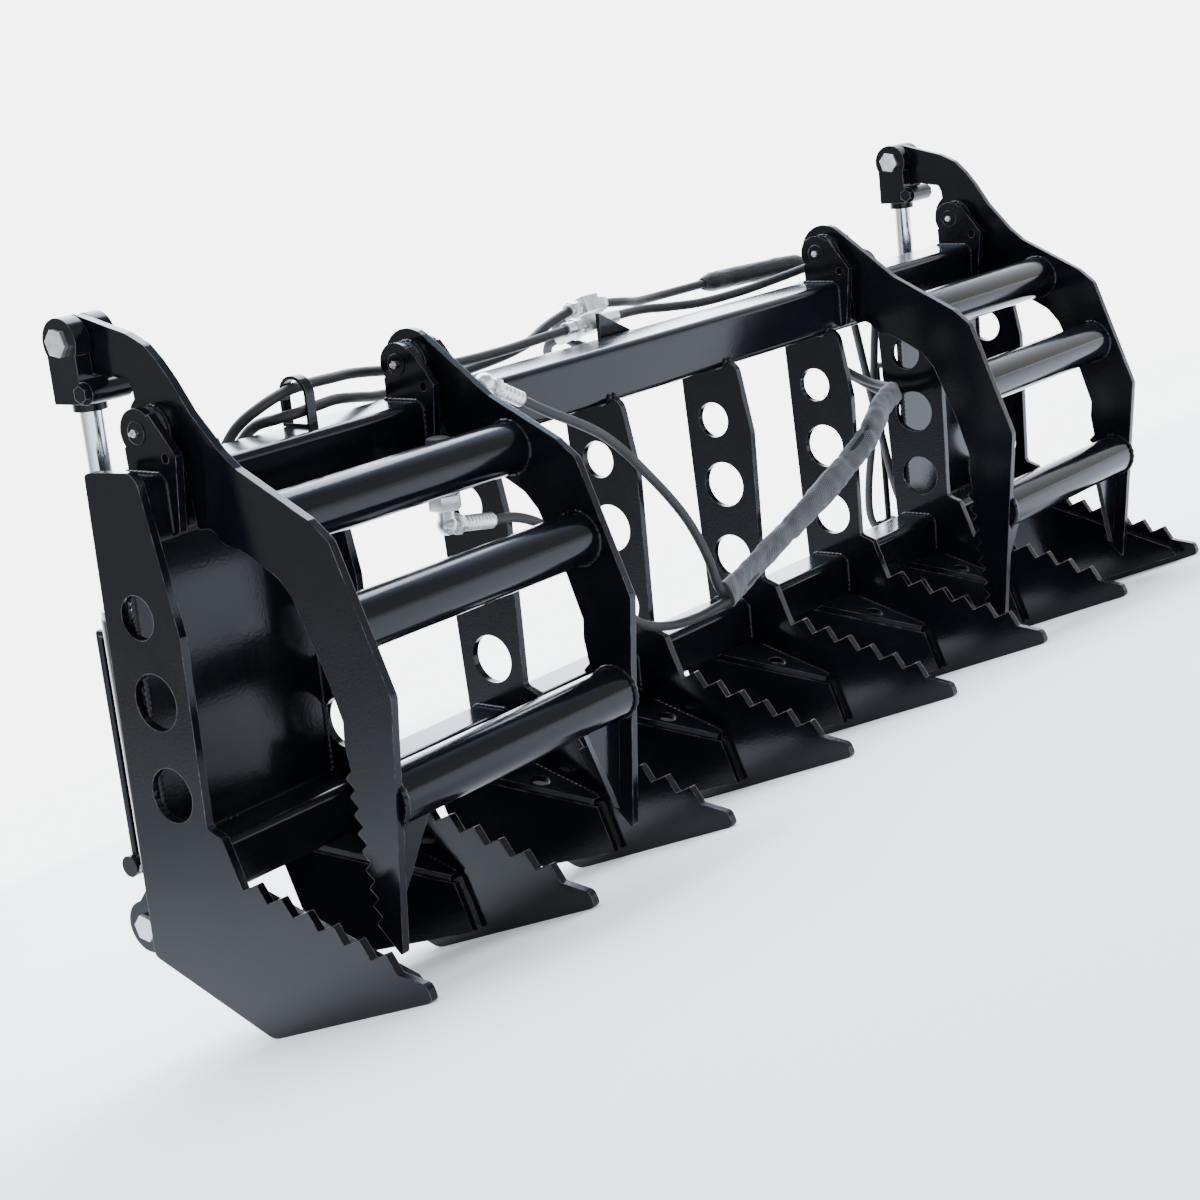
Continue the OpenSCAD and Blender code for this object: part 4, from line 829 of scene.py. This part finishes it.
# Clamps: rings round the cross tubes inside the plates, and round the bushes on both faces of each plate
CROSS_TUBE_RING, BUSH_RING = 30.5, 23.0
for name, mirror in (("left", False), ("right", True)):
    rings = []
    for x in (OUTER_X + PLATE / 2, INNER_X - PLATE / 2):
        rings += [ring_run(on_side(x, mirror), centre, CROSS_TUBE_RING) for centre in CROSS_TUBES]
    for x in (OUTER_X, INNER_X):
        rings += [ring_run(on_side(x + face, mirror), PIVOT, BUSH_RING) for face in (-PLATE / 2, PLATE / 2)]
    beads(name + "_clamp_weld_beads", rings, radius=0.0033, body=name + "_clamp")


# ---- Cylinders: weld ring round the base cap and wiper ring at the gland

# Weld ring: its distance from the base pin, and its radius
CAP_WELD_AT, CAP_WELD_R = 0.060, 0.0252
# Profile of the wiper ring, as radius and distance from the base pin
WIPER = [(0.0127, 0.3549), (0.0178, 0.3549), (0.0178, 0.3575), (0.0160, 0.3592), (0.0131, 0.3605),
    (0.0127, 0.3605), (0.0127, 0.3549)]


def cylinder_trim(name, mirror):
    """Weld ring and wiper ring of one cylinder, both on its barrel."""
    x = on_side(OUTER_X, mirror)
    start, end = at(x, *side(BASE_PIN)), at(x, *side(HOOK))
    way = (end - start).normalized()
    middle = start + way * CAP_WELD_AT
    lie = upright_to(middle, middle + way)
    ring = [lie @ Vector((CAP_WELD_R * math.cos(t), CAP_WELD_R * math.sin(t), 0)) for t in turns(32)]
    beads(name + "_barrel_weld_beads", [ring + ring[:1]], radius=0.0026, body=name + "_barrel")
    shape = bmesh.new()
    turned(shape, WIPER, upright_to(start, end), sides=48)
    piece_of(name + "_rod_wiper", shape, RUBBER, name + "_barrel")


cylinder_trim("left", False)
cylinder_trim("right", True)


# ---- Finishes of the CAD nodes

FINISHES = {
    "black_paint": ENAMEL,
    "zinc_plate": ZINC,
    "bright_steel": BRIGHT,
    "rod_chrome": CHROME,
    "hose_rubber": RUBBER,
    "shrink_wrap": SHRINK,
    "woven_sleeve": SLEEVE,
    "cap_rubber": RUBBER,
}
for part in frame["record"]["subparts"]:
    node = nodes[part["node"]]
    finish = FINISHES[part["material_slot"]]
    if node.material_slots:
        for spot in node.material_slots:
            spot.material = finish
    else:
        node.data.materials.append(finish)


# ---- Floor and light

# Level direction from the camera past the part, and how far the floor reaches to each side, in metres
AWAY, FLOOR_REACH = (0.756, 0.654, 0), 40

floor_shape = bmesh.new()
bmesh.ops.create_grid(floor_shape, x_segments=1, y_segments=1, size=FLOOR_REACH)
floor_data = bpy.data.meshes.new("floor")
floor_shape.to_mesh(floor_data)
floor_shape.free()
floor = bpy.data.objects.new("floor", floor_data)
bpy.context.scene.collection.objects.link(floor)
floor_look, floor_tree, floor_shader, floor_place = finish_named("pale_studio_floor")
# Pale paper, its tone a little uneven over about 1.2 m
patches = add(floor_tree, "TexNoise", {"Vector": floor_place, "Scale": 0.8,
    "Detail": 3.0, "Roughness": 0.55})
floor_tone = add(floor_tree, "ValToRGB", {"Fac": patches.outputs[0]},
    stops=[(0.3, "#f6f7f8"), (0.7, "#fafbfb")]).outputs[0]
floor_tree.links.new(floor_tone, floor_shader.inputs["Base Color"])
floor_shader.inputs["Roughness"].default_value = 0.85
# Lit from below like a light table, and brighter from 0.8 to 7 m behind the part, so that it runs into
# the wall
far = add(floor_tree, "VectorMath", {0: floor_place, 1: AWAY}, operation="DOT_PRODUCT").outputs["Value"]
floor_light = add(floor_tree, "MapRange", {"Value": far, "From Min": 0.8, "From Max": 7.0,
    "To Min": 0.25, "To Max": 4.6}).outputs[0]
floor_tree.links.new(floor_tone, floor_shader.inputs["Emission Color"])
floor_tree.links.new(floor_light, floor_shader.inputs["Emission Strength"])
floor_data.materials.append(floor_look)


def soft_box(name, spot, target, size, power, tone):
    """A rectangular studio light that faces its target; its size is wide, then high."""
    data = bpy.data.lights.new(name, "AREA")
    data.shape, (data.size, data.size_y) = "RECTANGLE", size
    data.energy, data.color = power, srgb(tone)[:3]
    lamp = bpy.data.objects.new(name, data)
    bpy.context.scene.collection.objects.link(lamp)
    lamp.location = spot
    lamp.rotation_euler = (Vector(target) - Vector(spot)).to_track_quat("-Z", "Y").to_euler()


soft_box("overhead", (0.4, 0.9, 3.1), (0, 0, 0.3), size=(4.2, 2.6), power=420, tone="#e6f0ff")
soft_box("behind", (3.0, 2.6, 2.3), (0, 0, 0.4), size=(3.4, 1.4), power=150, tone="#e2ecff")
soft_box("front", (-3.4, -2.2, 2.8), (-0.2, 0, 0.3), size=(2.2, 1.6), power=30, tone="#fff8ee")

# Studio walls: bright behind the part, dimmer on the camera's side, and a little blue above
sky = bpy.data.worlds.new("studio")
bpy.context.scene.world = sky
sky.use_nodes = True
walls = sky.node_tree
glow = walls.nodes["Background"]
towards = add(walls, "TexCoord", {}).outputs["Generated"]
height = add(walls, "SeparateXYZ", {0: towards}).outputs["Z"]
wall_tone = add(walls, "ValToRGB", {"Fac": height}, stops=[(0.3, "#ffffff"), (0.6, "#c3d5f0")]).outputs[0]
walls.links.new(wall_tone, glow.inputs["Color"])
facing = add(walls, "VectorMath", {0: towards, 1: AWAY}, operation="DOT_PRODUCT").outputs["Value"]
wall_light = add(walls, "MapRange", {"Value": facing, "From Min": 0.25, "From Max": 0.88,
    "To Min": 0.8, "To Max": 6.0}).outputs[0]
walls.links.new(wall_light, glow.inputs["Strength"])
